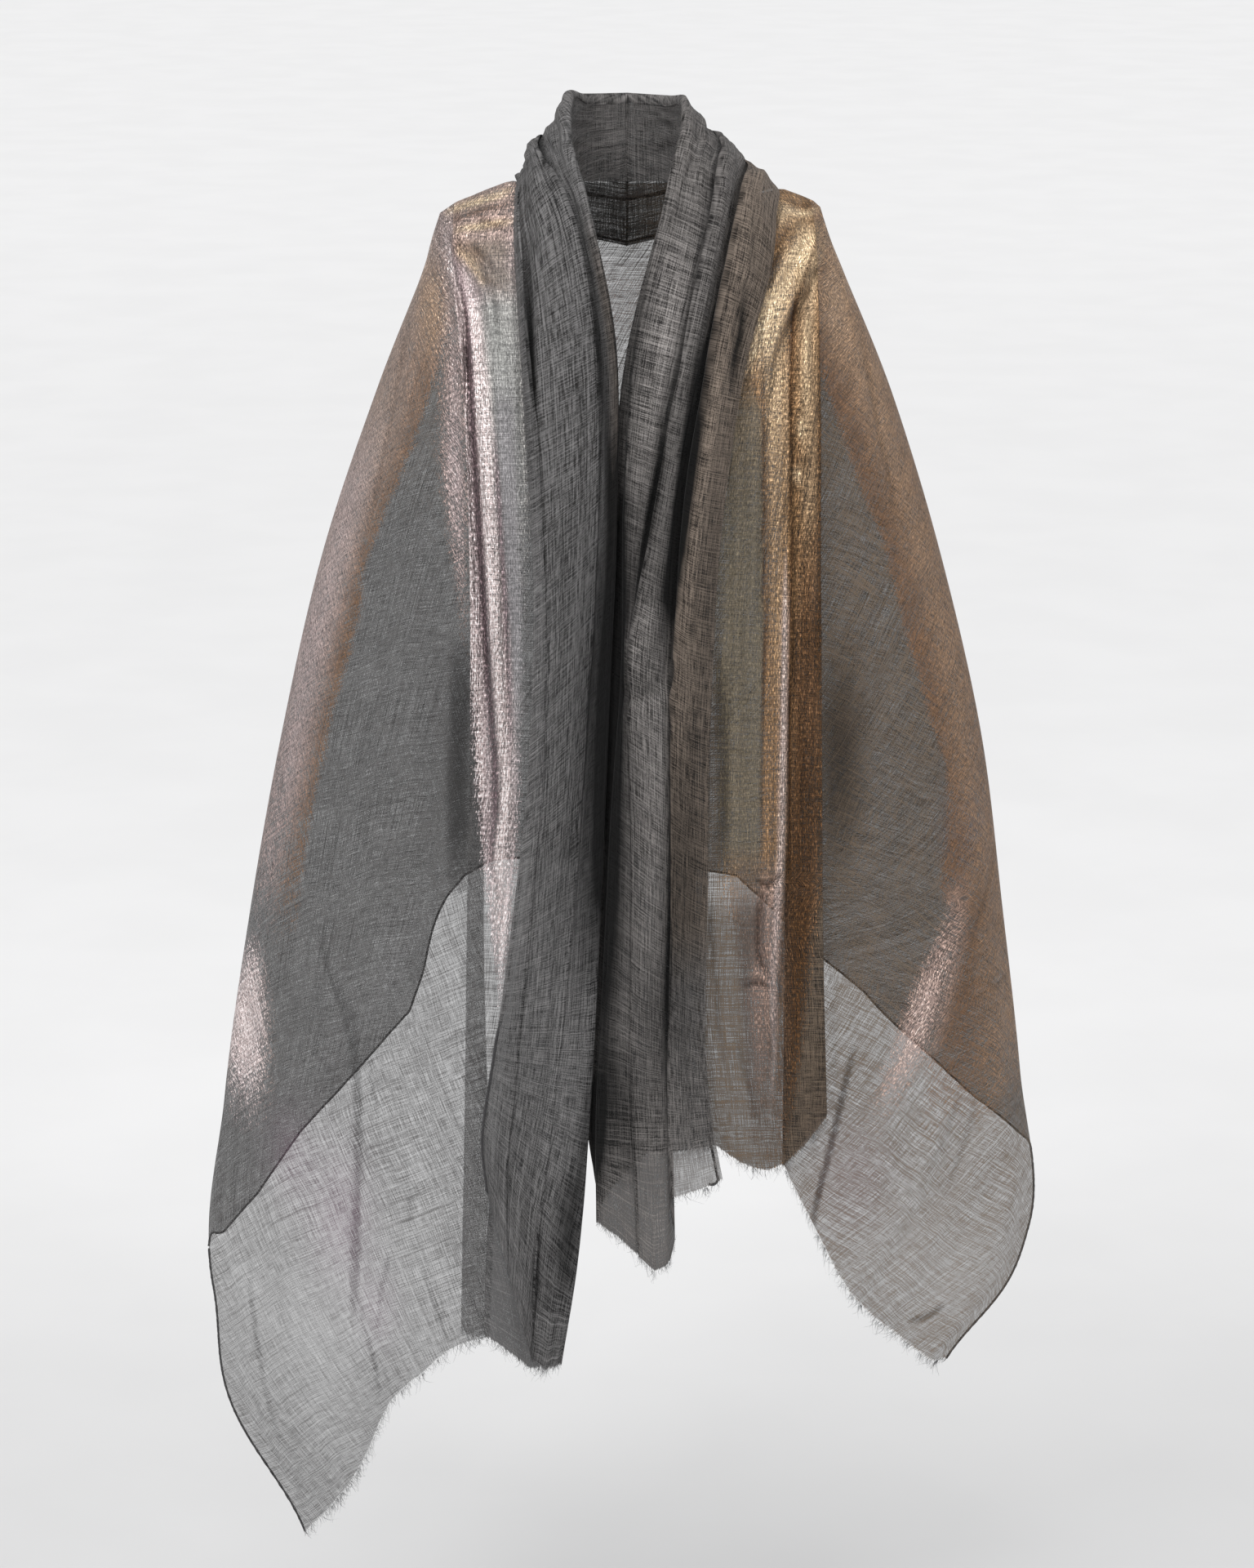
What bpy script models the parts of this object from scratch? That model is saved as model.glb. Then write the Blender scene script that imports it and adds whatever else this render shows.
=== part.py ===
"""A sheer cashmere scarf worn as a shawl: a rolled collar at the neck, both ends hanging in front.

The cloth is one rectangle. It lies over the shoulders, its top long edge turned out as a collar,
and each front is laid in one deep pleat. Every stretch that shows is a thin wall of its own.
Metres, +Z up. The wearer faces -Y, and left and right are as seen from the front (left is -X).
The origin is on the axis of the neck, at the height of the shoulders that carry the cloth.
"""

import math

import bmesh
import bpy
from mathutils import Vector

MM = 0.001
CLOTH = 1.2 * MM  # the wall that stands for the cloth
PLY = 1.6 * MM  # from one ply to the next that lies on it
RIDGE_GAP = 0.5 * MM  # half the gap on the shoulder ridge, where two slopes meet
TUCK_GAP = 0.8 * MM  # half the gap where a front goes in under the collar
SIDE_GAP = 0.45 * MM  # half the gap on the side lines and at the shoulder blades
SPINE_GAP = 0.45 * MM  # half the gap between the collar's two halves, at the spine
HEM_RADIUS = 1.1 * MM  # rolled hem of the long edges
FRINGE = 11 * MM  # reach of the loose threads at the short ends
FRINGE_WALL = 1.0 * MM
FRINGE_GAP = 0.65 * MM  # between the cloth and the reach of its loose threads
HEM_GAP = 0.45 * MM  # between the cloth and its rolled hem
WING_DEPTH = 3.0  # plies from a front to the cloth that turns out again behind its pleat
PLEAT_HANDLE = (0.42, 0.22, 0.34)  # shares of its reach by which a wing leaves the pleat
BLADE_HANDLE = (0.42, 0.12, 0.34)  # the same where it meets the back
ARM_HANDLE = (0.0, 0.55, 0.33)  # and where it turns round the arm
CORNER = 5 * MM  # what hems and fringes leave free at the corners of the cloth
FRONT_SWELL = 4 * MM  # how far the middle of each front stands out before its edges

# Stations follow the scarf from the spine round the neck and down each front.
SPINE, BEHIND, NECK, SHOULDER, COLLARBONE, CHEST, BUST = range(7)
WAIST, HIP, THIGH, KNEE, SHIN, END = range(7, 13)
BACK_HEM = 10.8  # station where the back's hem meets the side line

# Lines along the cloth, in millimetres: one row a station. The first three start at the spine
# and the others at the shoulder. The back's lines end at the station after the back hem.
#   edge: free long edge of the collar     roll: fold at the neck opening
#   tuck: cloth under the collar's edge    fold, pleat: outer and inner folds of the pleat
#   side: outline over the arm, then the free hem
#   blade, nape, collar_base, spine: the back, from the shoulder blade to the middle
LEFT = {
    #          x     y     z
    "edge": (
        (0, 122, -72),
        (-80, 104, -50),
        (-108, 42, -8),
        (-110, -16, 7),
        (-111, -64, -28),
        (-109, -98, -72),
        (-102, -135, -180),
        (-93, -143, -370),
        (-99, -144, -560),
        (-119, -143, -738),
        (-136, -142, -861),
        (-149, -140, -950),
        (-145, -139, -1012),
    ),
    "roll": (
        (0, 80, 82),
        (-42, 60, 84),
        (-57, 20, 92),
        (-58, -26, 60),
        (-53, -58, 36),
        (-38, -94, -12),
        (-13, -131, -136),
        (-12, -141, -300),
        (-19, -142, -480),
        (-28, -141, -680),
        (-38, -140, -880),
        (-51, -139, -1070),
        (-70, -138, -1200),
    ),
    "tuck": (
        (0, 66, 2),
        (-42, 50, 4),
        (-62, 14, 8),
        (-78, -5, 7),
        (-90, -44, -16),
        (-97, -76, -54),
        (-92, -122, -185),
        (-84, -130, -370),
        (-88, -131, -550),
        (-108, -130, -735),
        (-130, -129, -915),
        (-141, -128, -1060),
        (-140, -127, -1180),
    ),
    "fold": (
        (-172, 0, -14),
        (-172, -42, -28),
        (-171, -74, -62),
        (-160, -116, -190),
        (-156, -124, -370),
        (-158, -125, -550),
        (-163, -125, -735),
        (-167, -124, -915),
        (-171, -123, -1060),
        (-174, -122, -1175),
    ),
    "pleat": (
        (-168, 0, -13),
        (-166, -40, -27),
        (-163, -72, -62),
        (-150, -112, -190),
        (-142, -119, -370),
        (-137, -120, -550),
        (-136, -120, -735),
        (-144, -119, -915),
        (-152, -118, -1060),
        (-160, -117, -1190),
    ),
    "side": (
        (-187, 0, -21),
        (-196, 0, -50),
        (-208, 0, -88),
        (-254, 0, -202),
        (-312, 0, -370),
        (-358, 0, -560),
        (-396, 0, -755),
        (-428, -2, -960),
        (-445, -10, -1175),
        (-349, -55, -1441),
    ),
    "blade": (
        (-150, 0, -7),
        (-152, 46, -24),
        (-156, 82, -66),
        (-163, 112, -175),
        (-172, 123, -325),
        (-182, 127, -475),
        (-192, 128, -610),
        (-202, 128, -735),
        (-213, 128, -855),
    ),
}
RIGHT = {
    #          x     y     z
    "edge": (
        (0, 122, -72),
        (84, 104, -48),
        (124, 46, -12),
        (150, -8, 4),
        (147, -58, -16),
        (141, -94, -64),
        (113, -133, -168),
        (92, -145, -330),
        (84, -146, -500),
        (82, -145, -680),
        (80, -144, -840),
        (88, -142, -935),
        (99, -141, -1000),
    ),
    "roll": (
        (0, 80, 82),
        (42, 60, 82),
        (57, 20, 87),
        (56, -25, 64),
        (49, -55, 40),
        (37, -90, -8),
        (10, -130, -136),
        (-1, -142, -290),
        (-3, -144, -450),
        (-14, -143, -610),
        (-22, -142, -780),
        (-29, -141, -930),
        (-29, -140, -1046),
    ),
    "tuck": (
        (0, 66, 2),
        (42, 50, 4),
        (62, 14, 8),
        (92, -5, 4),
        (116, -42, -14),
        (126, -74, -56),
        (102, -120, -180),
        (82, -130, -340),
        (72, -131, -510),
        (70, -131, -690),
        (69, -130, -820),
        (78, -129, -908),
        (92, -128, -968),
    ),
    "fold": (
        (182, 0, -13),
        (185, -42, -26),
        (187, -74, -62),
        (190, -116, -190),
        (192, -124, -350),
        (195, -125, -515),
        (198, -125, -680),
        (201, -124, -800),
        (204, -123, -880),
        (206, -122, -938),
    ),
    "pleat": (
        (176, 0, -12),
        (174, -40, -26),
        (168, -72, -62),
        (161, -111, -190),
        (161, -118, -350),
        (162, -119, -515),
        (163, -119, -685),
        (163, -118, -825),
        (163, -117, -930),
        (163, -116, -996),
    ),
    "side": (
        (193, 0, -15),
        (203, 0, -46),
        (217, 0, -84),
        (262, 0, -205),
        (313, 0, -370),
        (366, 0, -560),
        (394, 0, -750),
        (417, -2, -930),
        (431, -10, -1100),
        (342, -50, -1240),
    ),
    "blade": (
        (150, 0, -7),
        (152, 46, -24),
        (156, 82, -66),
        (163, 112, -175),
        (172, 123, -325),
        (182, 127, -478),
        (192, 128, -618),
        (203, 128, -750),
        (216, 128, -876),
    ),
}
# The middle of the back is the same on both sides; x is the distance from the middle.
BACK = {
    "nape": (
        (67, 4, 8),
        (77, 52, -18),
        (84, 90, -64),
        (90, 118, -173),
        (95, 129, -313),
        (100, 132, -445),
        (104, 133, -560),
        (107, 133, -655),
        (110, 133, -742),
    ),
    "collar_base": (
        (46, 53, 2),
        (52, 73, -20),
        (52, 99, -65),
        (48, 121, -171),
        (48, 131, -308),
        (50, 134, -436),
        (52, 134, -548),
        (54, 134, -648),
        (55, 134, -734),
    ),
    "spine": (
        (0, 69, 0),
        (0, 86, -22),
        (0, 104, -66),
        (0, 124, -170),
        (0, 132, -305),
        (0, 134, -430),
        (0, 134, -540),
        (0, 134, -640),
        (0, 134, -730),
    ),
}
ROUND_THE_NECK = ("edge", "roll", "tuck")  # these start at the spine

# The collar's two laid folds and its thickness, one row a station: how far each fold lies
# from the edge to the roll, how high each stands, half the roll's thickness and the crown.
#   outer  inner  outer_mm  inner_mm  half_mm  crown_mm
LEFT_COLLAR = (
    (0.30, 0.66, 2, 2, 9, 4),
    (0.28, 0.62, 3, 3, 8, 4),
    (0.22, 0.56, 4, 6, 7, 4),
    (0.16, 0.55, 4, 8, 7, 4),
    (0.14, 0.74, 3, 6, 6, 6),
    (0.13, 0.84, 3, 5, 5, 8),
    (0.12, 0.82, 3, 4, 4, 7),
    (0.14, 0.78, 2, 3, 4, 6),
    (0.18, 0.74, 2, 2, 4, 6),
    (0.22, 0.70, 2, 2, 4, 7),
    (0.24, 0.66, 2, 2, 4, 8),
    (0.26, 0.62, 2, 2, 4, 8),
    (0.28, 0.60, 2, 2, 4, 7),
)
RIGHT_COLLAR = (
    (0.30, 0.66, 2, 2, 9, 4),
    (0.32, 0.64, 4, 3, 8, 4),
    (0.34, 0.62, 6, 5, 7, 5),
    (0.36, 0.62, 9, 8, 7, 6),
    (0.38, 0.62, 10, 9, 6, 8),
    (0.38, 0.60, 11, 9, 4, 8),
    (0.30, 0.58, 13, 8, 4, 7),
    (0.36, 0.72, 13, 7, 4, 6),
    (0.42, 0.90, 8, 4, 4, 8),
    (0.38, 0.80, 4, 2, 4, 9),
    (0.36, 0.74, 4, 2, 4, 9),
    (0.35, 0.70, 4, 2, 4, 8),
    (0.35, 0.68, 4, 2, 4, 7),
)
COLLAR_ROWS = 7  # rows of the mesh from the spine to the shoulder
FRONT_ROWS = 16  # from the shoulder to the frayed ends
BACK_ROWS = 13  # from the shoulder to the back's hem
FREE_ROWS = 8  # from there to the frayed end of a wing
FRONT_COLUMNS = 5
WING_COLUMNS = 10
WING_BACK_COLUMNS = 6
BACK_COLUMNS = 17
NEARBY = 0.05  # how far along, in stations, the run of a line is measured
LAID = 0.05  # half the share of the collar's width that a laid fold's step takes

# Soft hanging folds of the two wings: middle (0 at the pleat, 1 at the side), the stations
# where each starts and is full, its half width as a share of the wing, and its height.
#   middle  starts  full  half_width  height_mm
LEFT_WING_FOLDS = (
    (0.30, 6.0, 10.5, 0.13, 9),
    (0.55, 8.0, 11.0, 0.12, 13),
    (0.80, 7.0, 10.5, 0.12, -8),
)
RIGHT_WING_FOLDS = (
    (0.28, 6.0, 10.5, 0.13, 11),
    (0.52, 8.0, 11.0, 0.13, -9),
    (0.74, 7.0, 11.0, 0.12, 10),
)
# Soft folds that fall from the shoulder blades: middle (x), starts, full, half width, height
#   x_mm  starts  full  half_width_mm  height_mm
BACK_FOLDS = (
    (-118, 5.0, 9.0, 34, 9),
    (-48, 6.0, 10.0, 30, 7),
    (30, 6.0, 10.0, 32, -6),
    (104, 5.0, 9.0, 36, 10),
)
# The frayed short ends: how far each line of the cloth ends above (+) or below (-) where its
# panel's corners alone would put it, in millimetres, from the inner edge of the panel outwards.
#   the collar: edge, outer fold x2, middle, inner fold x2, near the roll, roll x3, under x2, tuck
LEFT_COLLAR_END = (0, 0, 4, 15, 29, 43, 72, 25, 0, 0, -28, -11, 0)
RIGHT_COLLAR_END = (0, 3, -71, -71, -58, -43, -18, 0, 0, 0, 24, 40, 0)
#   the fronts, from the tuck to the fold, and the wings, from the pleat to the side
LEFT_FRONT_END = (0, -3, -4, -3, 0)
RIGHT_FRONT_END = (0, -27, -41, -30, -2)
LEFT_WING_END = (0, 20, 24, 20, -18, -36, -38, -24, 0)
RIGHT_WING_END = (0, -33, -63, -77, -77, -67, -50, -26, 0)
SIDE_HEM_SAG = 30 * MM  # the back's hem, between the side and the shoulder blade

GREY = (0.10, 0.098, 0.096, 1.0)
DARK = (0.035, 0.034, 0.034, 1.0)
ROSE_FOIL = (0.46, 0.33, 0.29, 1.0)
GOLD_FOIL = (0.50, 0.36, 0.20, 1.0)


def smooth(values, at):
    """A Catmull-Rom curve through equally spaced values, read at a place counted in them."""
    last = len(values) - 1
    at = min(max(at, 0.0), float(last))
    first = min(int(at), last - 1)
    share = at - first
    here, ahead = values[first], values[first + 1]
    before = values[first - 1] if first > 0 else here * 2 - ahead
    after = values[first + 2] if first + 2 <= last else ahead * 2 - here
    return (
        here * 2
        + (ahead - before) * share
        + (before * 2 - here * 5 + ahead * 4 - after) * share**2
        + (here * 3 - before - ahead * 3 + after) * share**3
    ) * 0.5


def on_line(table, name, station):
    """The point of a named line at a station, in metres."""
    first = SPINE if name in ROUND_THE_NECK else SHOULDER
    return smooth([Vector(row) for row in table[name]], station - first) * MM


def on_back(name, station, side):
    """The same for the lines of the middle of the back, on the side of the given sign."""
    point = on_line(BACK, name, station)
    return Vector((point.x * side, point.y, point.z))


def column(table, index, station):
    return smooth([row[index] for row in table], station)


def ease(value, start, full):
    share = min(max((value - start) / (full - start), 0.0), 1.0)
    return share * share * (3 - 2 * share)


def swell(distance, half_width):
    """A soft crest: 1 in the middle, 0 at the half width and beyond."""
    if abs(distance) >= half_width:
        return 0.0
    return 0.5 + 0.5 * math.cos(math.pi * distance / half_width)


def spread(first, last, count):
    return [first + (last - first) * i / (count - 1) for i in range(count)]


def bezier(points, share):
    left = 1 - share
    weights = (left**3, 3 * left**2 * share, 3 * left * share**2, share**3)
    return sum((p * w for p, w in zip(points, weights)), Vector((0, 0, 0)))


def material(name, colour, roughness, metallic):
    made = bpy.data.materials.new(name)
    made.use_nodes = True
    shader = made.node_tree.nodes["Principled BSDF"]
    shader.inputs["Base Color"].default_value = colour
    shader.inputs["Roughness"].default_value = roughness
    shader.inputs["Metallic"].default_value = metallic
    made.diffuse_color = colour
    return made


def surface(name, rows):
    """A mesh object through rows of points, all rows with the same count."""
    mesh = bpy.data.meshes.new(name)
    made = bmesh.new()
    grid = [[made.verts.new(point) for point in row] for row in rows]
    for upper, lower in zip(grid, grid[1:]):
        for i in range(len(upper) - 1):
            made.faces.new((upper[i], lower[i], lower[i + 1], upper[i + 1]))
    bmesh.ops.recalc_face_normals(made, faces=made.faces[:])
    made.to_mesh(mesh)
    made.free()
    mesh.shade_smooth()
    return bpy.data.objects.new(name, mesh)


def wall(name, rows, finish, thickness=CLOTH):
    """A stretch of cloth: the surface through the rows, made a wall about it."""
    made = surface(name, rows)
    made.data.materials.append(finish)
    shell = made.modifiers.new("wall", "SOLIDIFY")
    shell.thickness = thickness
    shell.offset = 0
    PARTS.objects.link(made)
    return made


def tube(name, points, radius, finish):
    """A rolled hem along the points."""
    curve = bpy.data.curves.new(name, "CURVE")
    curve.dimensions = "3D"
    curve.bevel_depth = radius
    curve.bevel_resolution = 1
    curve.use_fill_caps = True
    spline = curve.splines.new("POLY")
    spline.points.add(len(points) - 1)
    for place, point in zip(spline.points, points):
        place.co = (*point, 1)
    curve.materials.append(finish)
    made = bpy.data.objects.new(name, curve)
    PARTS.objects.link(made)
    return made


def trimmed(row, start, end):
    """The row with its first and last points pulled in along it, which leaves room at seams."""
    first = row[0] + (row[1] - row[0]).normalized() * start
    last = row[-1] + (row[-2] - row[-1]).normalized() * end
    return [first, *row[1:-1], last]


def past(edge, inside, distance):
    """The points of an edge moved out of the cloth, square to the edge and in its surface."""
    moved = []
    for i, (point, inner) in enumerate(zip(edge, inside)):
        along = (edge[min(i + 1, len(edge) - 1)] - edge[max(i - 1, 0)]).normalized()
        into = inner - point
        into -= along * into.dot(along)
        moved.append(point - into.normalized() * distance)
    return moved


def end_offset(ends, share):
    return smooth(ends, share * (len(ends) - 1)) * MM


def collar_section(table, laid, side, station):
    """From the collar's free edge over the roll at the neck and back under to the tuck."""
    edge = on_line(table, "edge", station)
    roll = on_line(table, "roll", station)
    tuck = on_line(table, "tuck", station)
    along = on_line(table, "edge", station + NEARBY) + on_line(table, "roll", station + NEARBY)
    along -= on_line(table, "edge", station - NEARBY) + on_line(table, "roll", station - NEARBY)
    if station < NEARBY:
        along = Vector((side, 0, 0))
    across = roll - edge
    out = (across.cross(along) * side).normalized()
    outer, inner, outer_high, inner_high, half, crown = (
        column(laid, i, station) for i in range(6)
    )
    half *= MM
    lip = across.normalized() * half * 0.8
    places = (
        (0.0, 0.0),
        (outer - LAID, outer_high),
        (outer + LAID, 0.0),
        ((outer + inner) / 2, inner_high * 0.5),
        (inner - LAID, inner_high),
        (inner + LAID, 0.0),
        ((inner + LAID + 1) / 2, 0.0),
    )
    points = []
    for share, high in places:
        lift = half * 0.6 * min(share * 6, 1) + high * MM + crown * MM * math.sin(math.pi * share)
        points.append(edge + across * share + out * lift)
    points += [roll + out * half, roll + lip, roll - out * half]
    under = tuck - points[-1]
    points += [points[-1] + under * share for share in (0.35, 0.7, 1.0)]
    return points


def collar(name, table, laid, ends, side, finish):
    stations = spread(SPINE, SHOULDER, COLLAR_ROWS) + spread(SHOULDER, END, FRONT_ROWS)[1:]
    rows = []
    for station in stations:
        row = collar_section(table, laid, side, station)
        for point, offset in zip(row, ends):
            point.z += offset * MM * ease(station, SHIN, END)
        rows.append(trimmed(row, 0.0, TUCK_GAP))
    for point in rows[0]:
        point.x += side * SPINE_GAP
    wall(name, rows, finish)
    return rows


def inward(table, side, station):
    """The way from a laid front towards the wearer, square to the cloth."""
    above = min(station, END - NEARBY)
    down = on_line(table, "fold", above + NEARBY) - on_line(table, "fold", above)
    across = on_line(table, "fold", station) - on_line(table, "tuck", station)
    return (down.cross(across) * -side).normalized()


def front(name, table, ends, finish):
    """From the tuck under the collar to the outer fold of the pleat."""
    rows = []
    for station in spread(SHOULDER, END, FRONT_ROWS):
        tuck = on_line(table, "tuck", station)
        fold = on_line(table, "fold", station)
        row = []
        for share in spread(0, 1, FRONT_COLUMNS):
            point = tuck.lerp(fold, share)
            point.y -= FRONT_SWELL * math.sin(math.pi * share) * ease(station, SHOULDER, BUST)
            point.z += end_offset(ends, share) * ease(station, KNEE, END)
            row.append(point)
        rows.append(trimmed(row, TUCK_GAP, 0.0))
    for point in rows[0]:
        point.y -= RIDGE_GAP
    wall(name, rows, finish)
    return rows


def pleat(name, table, side, finish):
    """The hidden ply of the pleat, from its outer fold in to its inner fold."""
    rows = []
    for station in spread(SHOULDER, END, FRONT_ROWS):
        under = inward(table, side, station) * PLY
        fold = on_line(table, "fold", station) + under
        inner = on_line(table, "pleat", station) + under
        rows.append([fold, fold.lerp(inner, 0.5), inner])
    for point in rows[0]:
        point.y -= RIDGE_GAP
    wall(name, rows, finish)
    return rows


def wing_point(table, folds, ends, side, station, share):
    """A point of the wing, from the inner fold of the pleat (0) out to the side (1)."""
    inner = on_line(table, "pleat", station) + inward(table, side, station) * PLY * WING_DEPTH
    outline = on_line(table, "side", station)
    reach = outline - inner
    start = inner + reach * Vector(PLEAT_HANDLE)
    turn = outline - reach * Vector(ARM_HANDLE)
    point = bezier((inner, start, turn, outline), share)
    point.z += end_offset(ends, share) * ease(station, KNEE, END)
    for middle, starts, full, half_width, height in folds:
        amount = swell(share - middle, half_width) * ease(station, starts, full)
        point.y -= height * MM * amount
    return point


def wing_back_point(table, station, share):
    """A point behind the arm, from the side (0) to the shoulder blade (1)."""
    outline = on_line(table, "side", station)
    blade = on_line(table, "blade", station)
    reach = blade - outline
    turn = outline + reach * Vector(ARM_HANDLE)
    end = blade - reach * Vector(BLADE_HANDLE)
    point = bezier((outline, turn, end, blade), share)
    point.z -= SIDE_HEM_SAG * math.sin(math.pi * share) * ease(station, HIP, BACK_HEM)
    return point


def wing(name, table, folds, ends, side, finish):
    """The cloth over the arm, in front, and below the back's hem."""
    rows = []
    stations = spread(SHOULDER, BACK_HEM, BACK_ROWS) + spread(BACK_HEM, END, FREE_ROWS)[1:]
    shares = spread(0, 1, WING_COLUMNS)
    for station in stations:
        row = [wing_point(table, folds, ends, side, station, share) for share in shares]
        rows.append(trimmed(row, 0.0, SIDE_GAP))
    for point in rows[0]:
        point.y -= RIDGE_GAP
    wall(name, rows, finish)
    return rows


def wing_back(name, table, finish):
    """The cloth over the arm, behind."""
    rows = []
    shares = spread(0, 1, WING_BACK_COLUMNS)
    for station in spread(SHOULDER, BACK_HEM, BACK_ROWS):
        row = [wing_back_point(table, station, share) for share in shares]
        rows.append(trimmed(row, SIDE_GAP, SIDE_GAP))
    for point in rows[0]:
        point.y += RIDGE_GAP
    wall(name, rows, finish)
    return rows


def back(name, finish):
    """The back between the shoulder blades, with the neck's arc in its top edge."""
    rows = []
    for station in spread(SHOULDER, BACK_HEM, BACK_ROWS):
        across = [
            on_line(LEFT, "blade", station),
            on_back("nape", station, -1),
            on_back("collar_base", station, -1),
            on_back("spine", station, 1),
            on_back("collar_base", station, 1),
            on_back("nape", station, 1),
            on_line(RIGHT, "blade", station),
        ]
        row = [smooth(across, place) for place in spread(0, len(across) - 1, BACK_COLUMNS)]
        for point in row:
            for middle, starts, full, half_width, height in BACK_FOLDS:
                amount = swell(point.x / MM - middle, half_width)
                point.y += height * MM * amount * ease(station, starts, full)
        rows.append(trimmed(row, SIDE_GAP, SIDE_GAP))
    for point in rows[0]:
        point.y += RIDGE_GAP
    wall(name, rows, finish)
    return rows


def fringe(name, rows, first, last, finish):
    """The reach of the loose threads below an end, from one column of the cloth to another."""
    end = trimmed(rows[-1][first : last + 1], CORNER, CORNER)
    before = rows[-2][first : last + 1]
    near = past(end, before, FRINGE_GAP)
    far = past(end, before, FRINGE_GAP + FRINGE)
    wall(name, [near, far], finish, FRINGE_WALL)


def hem(name, edge, inside, finish):
    """A rolled hem beside a long edge; inside is the next column of the cloth."""
    middle = past(edge, inside, HEM_GAP + HEM_RADIUS)
    tube(name, trimmed(middle, CORNER, CORNER), HEM_RADIUS, finish)


for leftover in list(bpy.data.objects):
    bpy.data.objects.remove(leftover, do_unlink=True)
PARTS = bpy.data.collections.new("cashmere_scarf")
bpy.context.scene.collection.children.link(PARTS)

cloth = material("sheer grey cashmere", GREY, 0.85, 0.0)
rose = material("rose foil on cashmere", ROSE_FOIL, 0.38, 0.7)
gold = material("gold foil on cashmere", GOLD_FOIL, 0.38, 0.7)
rolled = material("rolled hem", DARK, 0.8, 0.0)
threads = material("frayed threads", GREY, 0.9, 0.0)

LEFT_SIDE = (LEFT, LEFT_COLLAR, LEFT_COLLAR_END, LEFT_FRONT_END, LEFT_WING_FOLDS, LEFT_WING_END)
RIGHT_SIDE = (
    RIGHT, RIGHT_COLLAR, RIGHT_COLLAR_END, RIGHT_FRONT_END, RIGHT_WING_FOLDS, RIGHT_WING_END,
)
back_rows = back("back", cloth)
back_edges = {}
for where, sign, tables, foil in (("left", -1, LEFT_SIDE, rose), ("right", 1, RIGHT_SIDE, gold)):
    lines, laid_folds, collar_end, front_end, wing_folds, wing_end = tables
    collar_rows = collar(f"collar_{where}", lines, laid_folds, collar_end, sign, cloth)
    front_rows = front(f"front_{where}", lines, front_end, foil)
    pleat_rows = pleat(f"pleat_{where}", lines, sign, cloth)
    wing_rows = wing(f"wing_{where}", lines, wing_folds, wing_end, sign, cloth)
    behind_rows = wing_back(f"wing_back_{where}", lines, cloth)

    fringe(f"fringe_collar_{where}", collar_rows, 0, 7, threads)
    fringe(f"fringe_under_{where}", collar_rows, 9, 12, threads)
    fringe(f"fringe_front_{where}", front_rows, 0, 4, threads)
    fringe(f"fringe_wing_{where}", wing_rows, 0, 9, threads)

    hem(f"hem_collar_{where}", [r[0] for r in collar_rows], [r[1] for r in collar_rows], rolled)
    free = wing_rows[BACK_ROWS - 1 :]
    hem(f"hem_side_{where}", [r[-1] for r in free], [r[-2] for r in free], rolled)
    back_edges[where] = (behind_rows[-1], behind_rows[-2])

left_edge, left_before = back_edges["left"]
right_edge, right_before = back_edges["right"]
hem_edge = left_edge + back_rows[-1][1:-1] + right_edge[::-1]
hem_before = left_before + back_rows[-2][1:-1] + right_before[::-1]
hem("hem_back", hem_edge, hem_before, rolled)
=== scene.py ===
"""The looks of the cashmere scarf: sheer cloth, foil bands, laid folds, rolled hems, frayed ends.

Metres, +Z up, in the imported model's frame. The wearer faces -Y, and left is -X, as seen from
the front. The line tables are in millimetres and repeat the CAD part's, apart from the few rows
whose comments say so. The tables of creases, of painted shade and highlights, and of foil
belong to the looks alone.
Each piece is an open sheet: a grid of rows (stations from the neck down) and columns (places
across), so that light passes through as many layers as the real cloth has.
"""

import math

import bpy
import numpy as np
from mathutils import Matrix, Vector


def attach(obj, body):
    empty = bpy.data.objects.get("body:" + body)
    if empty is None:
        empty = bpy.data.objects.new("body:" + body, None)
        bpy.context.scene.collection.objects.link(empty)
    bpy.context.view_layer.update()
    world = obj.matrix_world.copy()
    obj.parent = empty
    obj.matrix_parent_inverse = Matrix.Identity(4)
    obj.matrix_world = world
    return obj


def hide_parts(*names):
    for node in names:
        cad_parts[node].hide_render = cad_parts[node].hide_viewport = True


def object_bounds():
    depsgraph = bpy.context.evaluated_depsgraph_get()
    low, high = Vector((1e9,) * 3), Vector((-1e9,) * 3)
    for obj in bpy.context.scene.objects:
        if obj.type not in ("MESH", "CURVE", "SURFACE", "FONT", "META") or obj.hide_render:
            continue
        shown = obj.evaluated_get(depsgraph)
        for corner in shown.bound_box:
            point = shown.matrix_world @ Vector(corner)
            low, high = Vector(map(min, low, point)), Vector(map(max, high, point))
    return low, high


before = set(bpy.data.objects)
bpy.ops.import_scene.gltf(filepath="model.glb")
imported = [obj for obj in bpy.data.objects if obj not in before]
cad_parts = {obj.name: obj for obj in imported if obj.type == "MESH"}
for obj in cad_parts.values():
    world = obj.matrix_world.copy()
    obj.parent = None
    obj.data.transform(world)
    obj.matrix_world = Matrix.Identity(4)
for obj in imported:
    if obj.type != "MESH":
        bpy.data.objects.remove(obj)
CAD_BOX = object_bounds()

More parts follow.
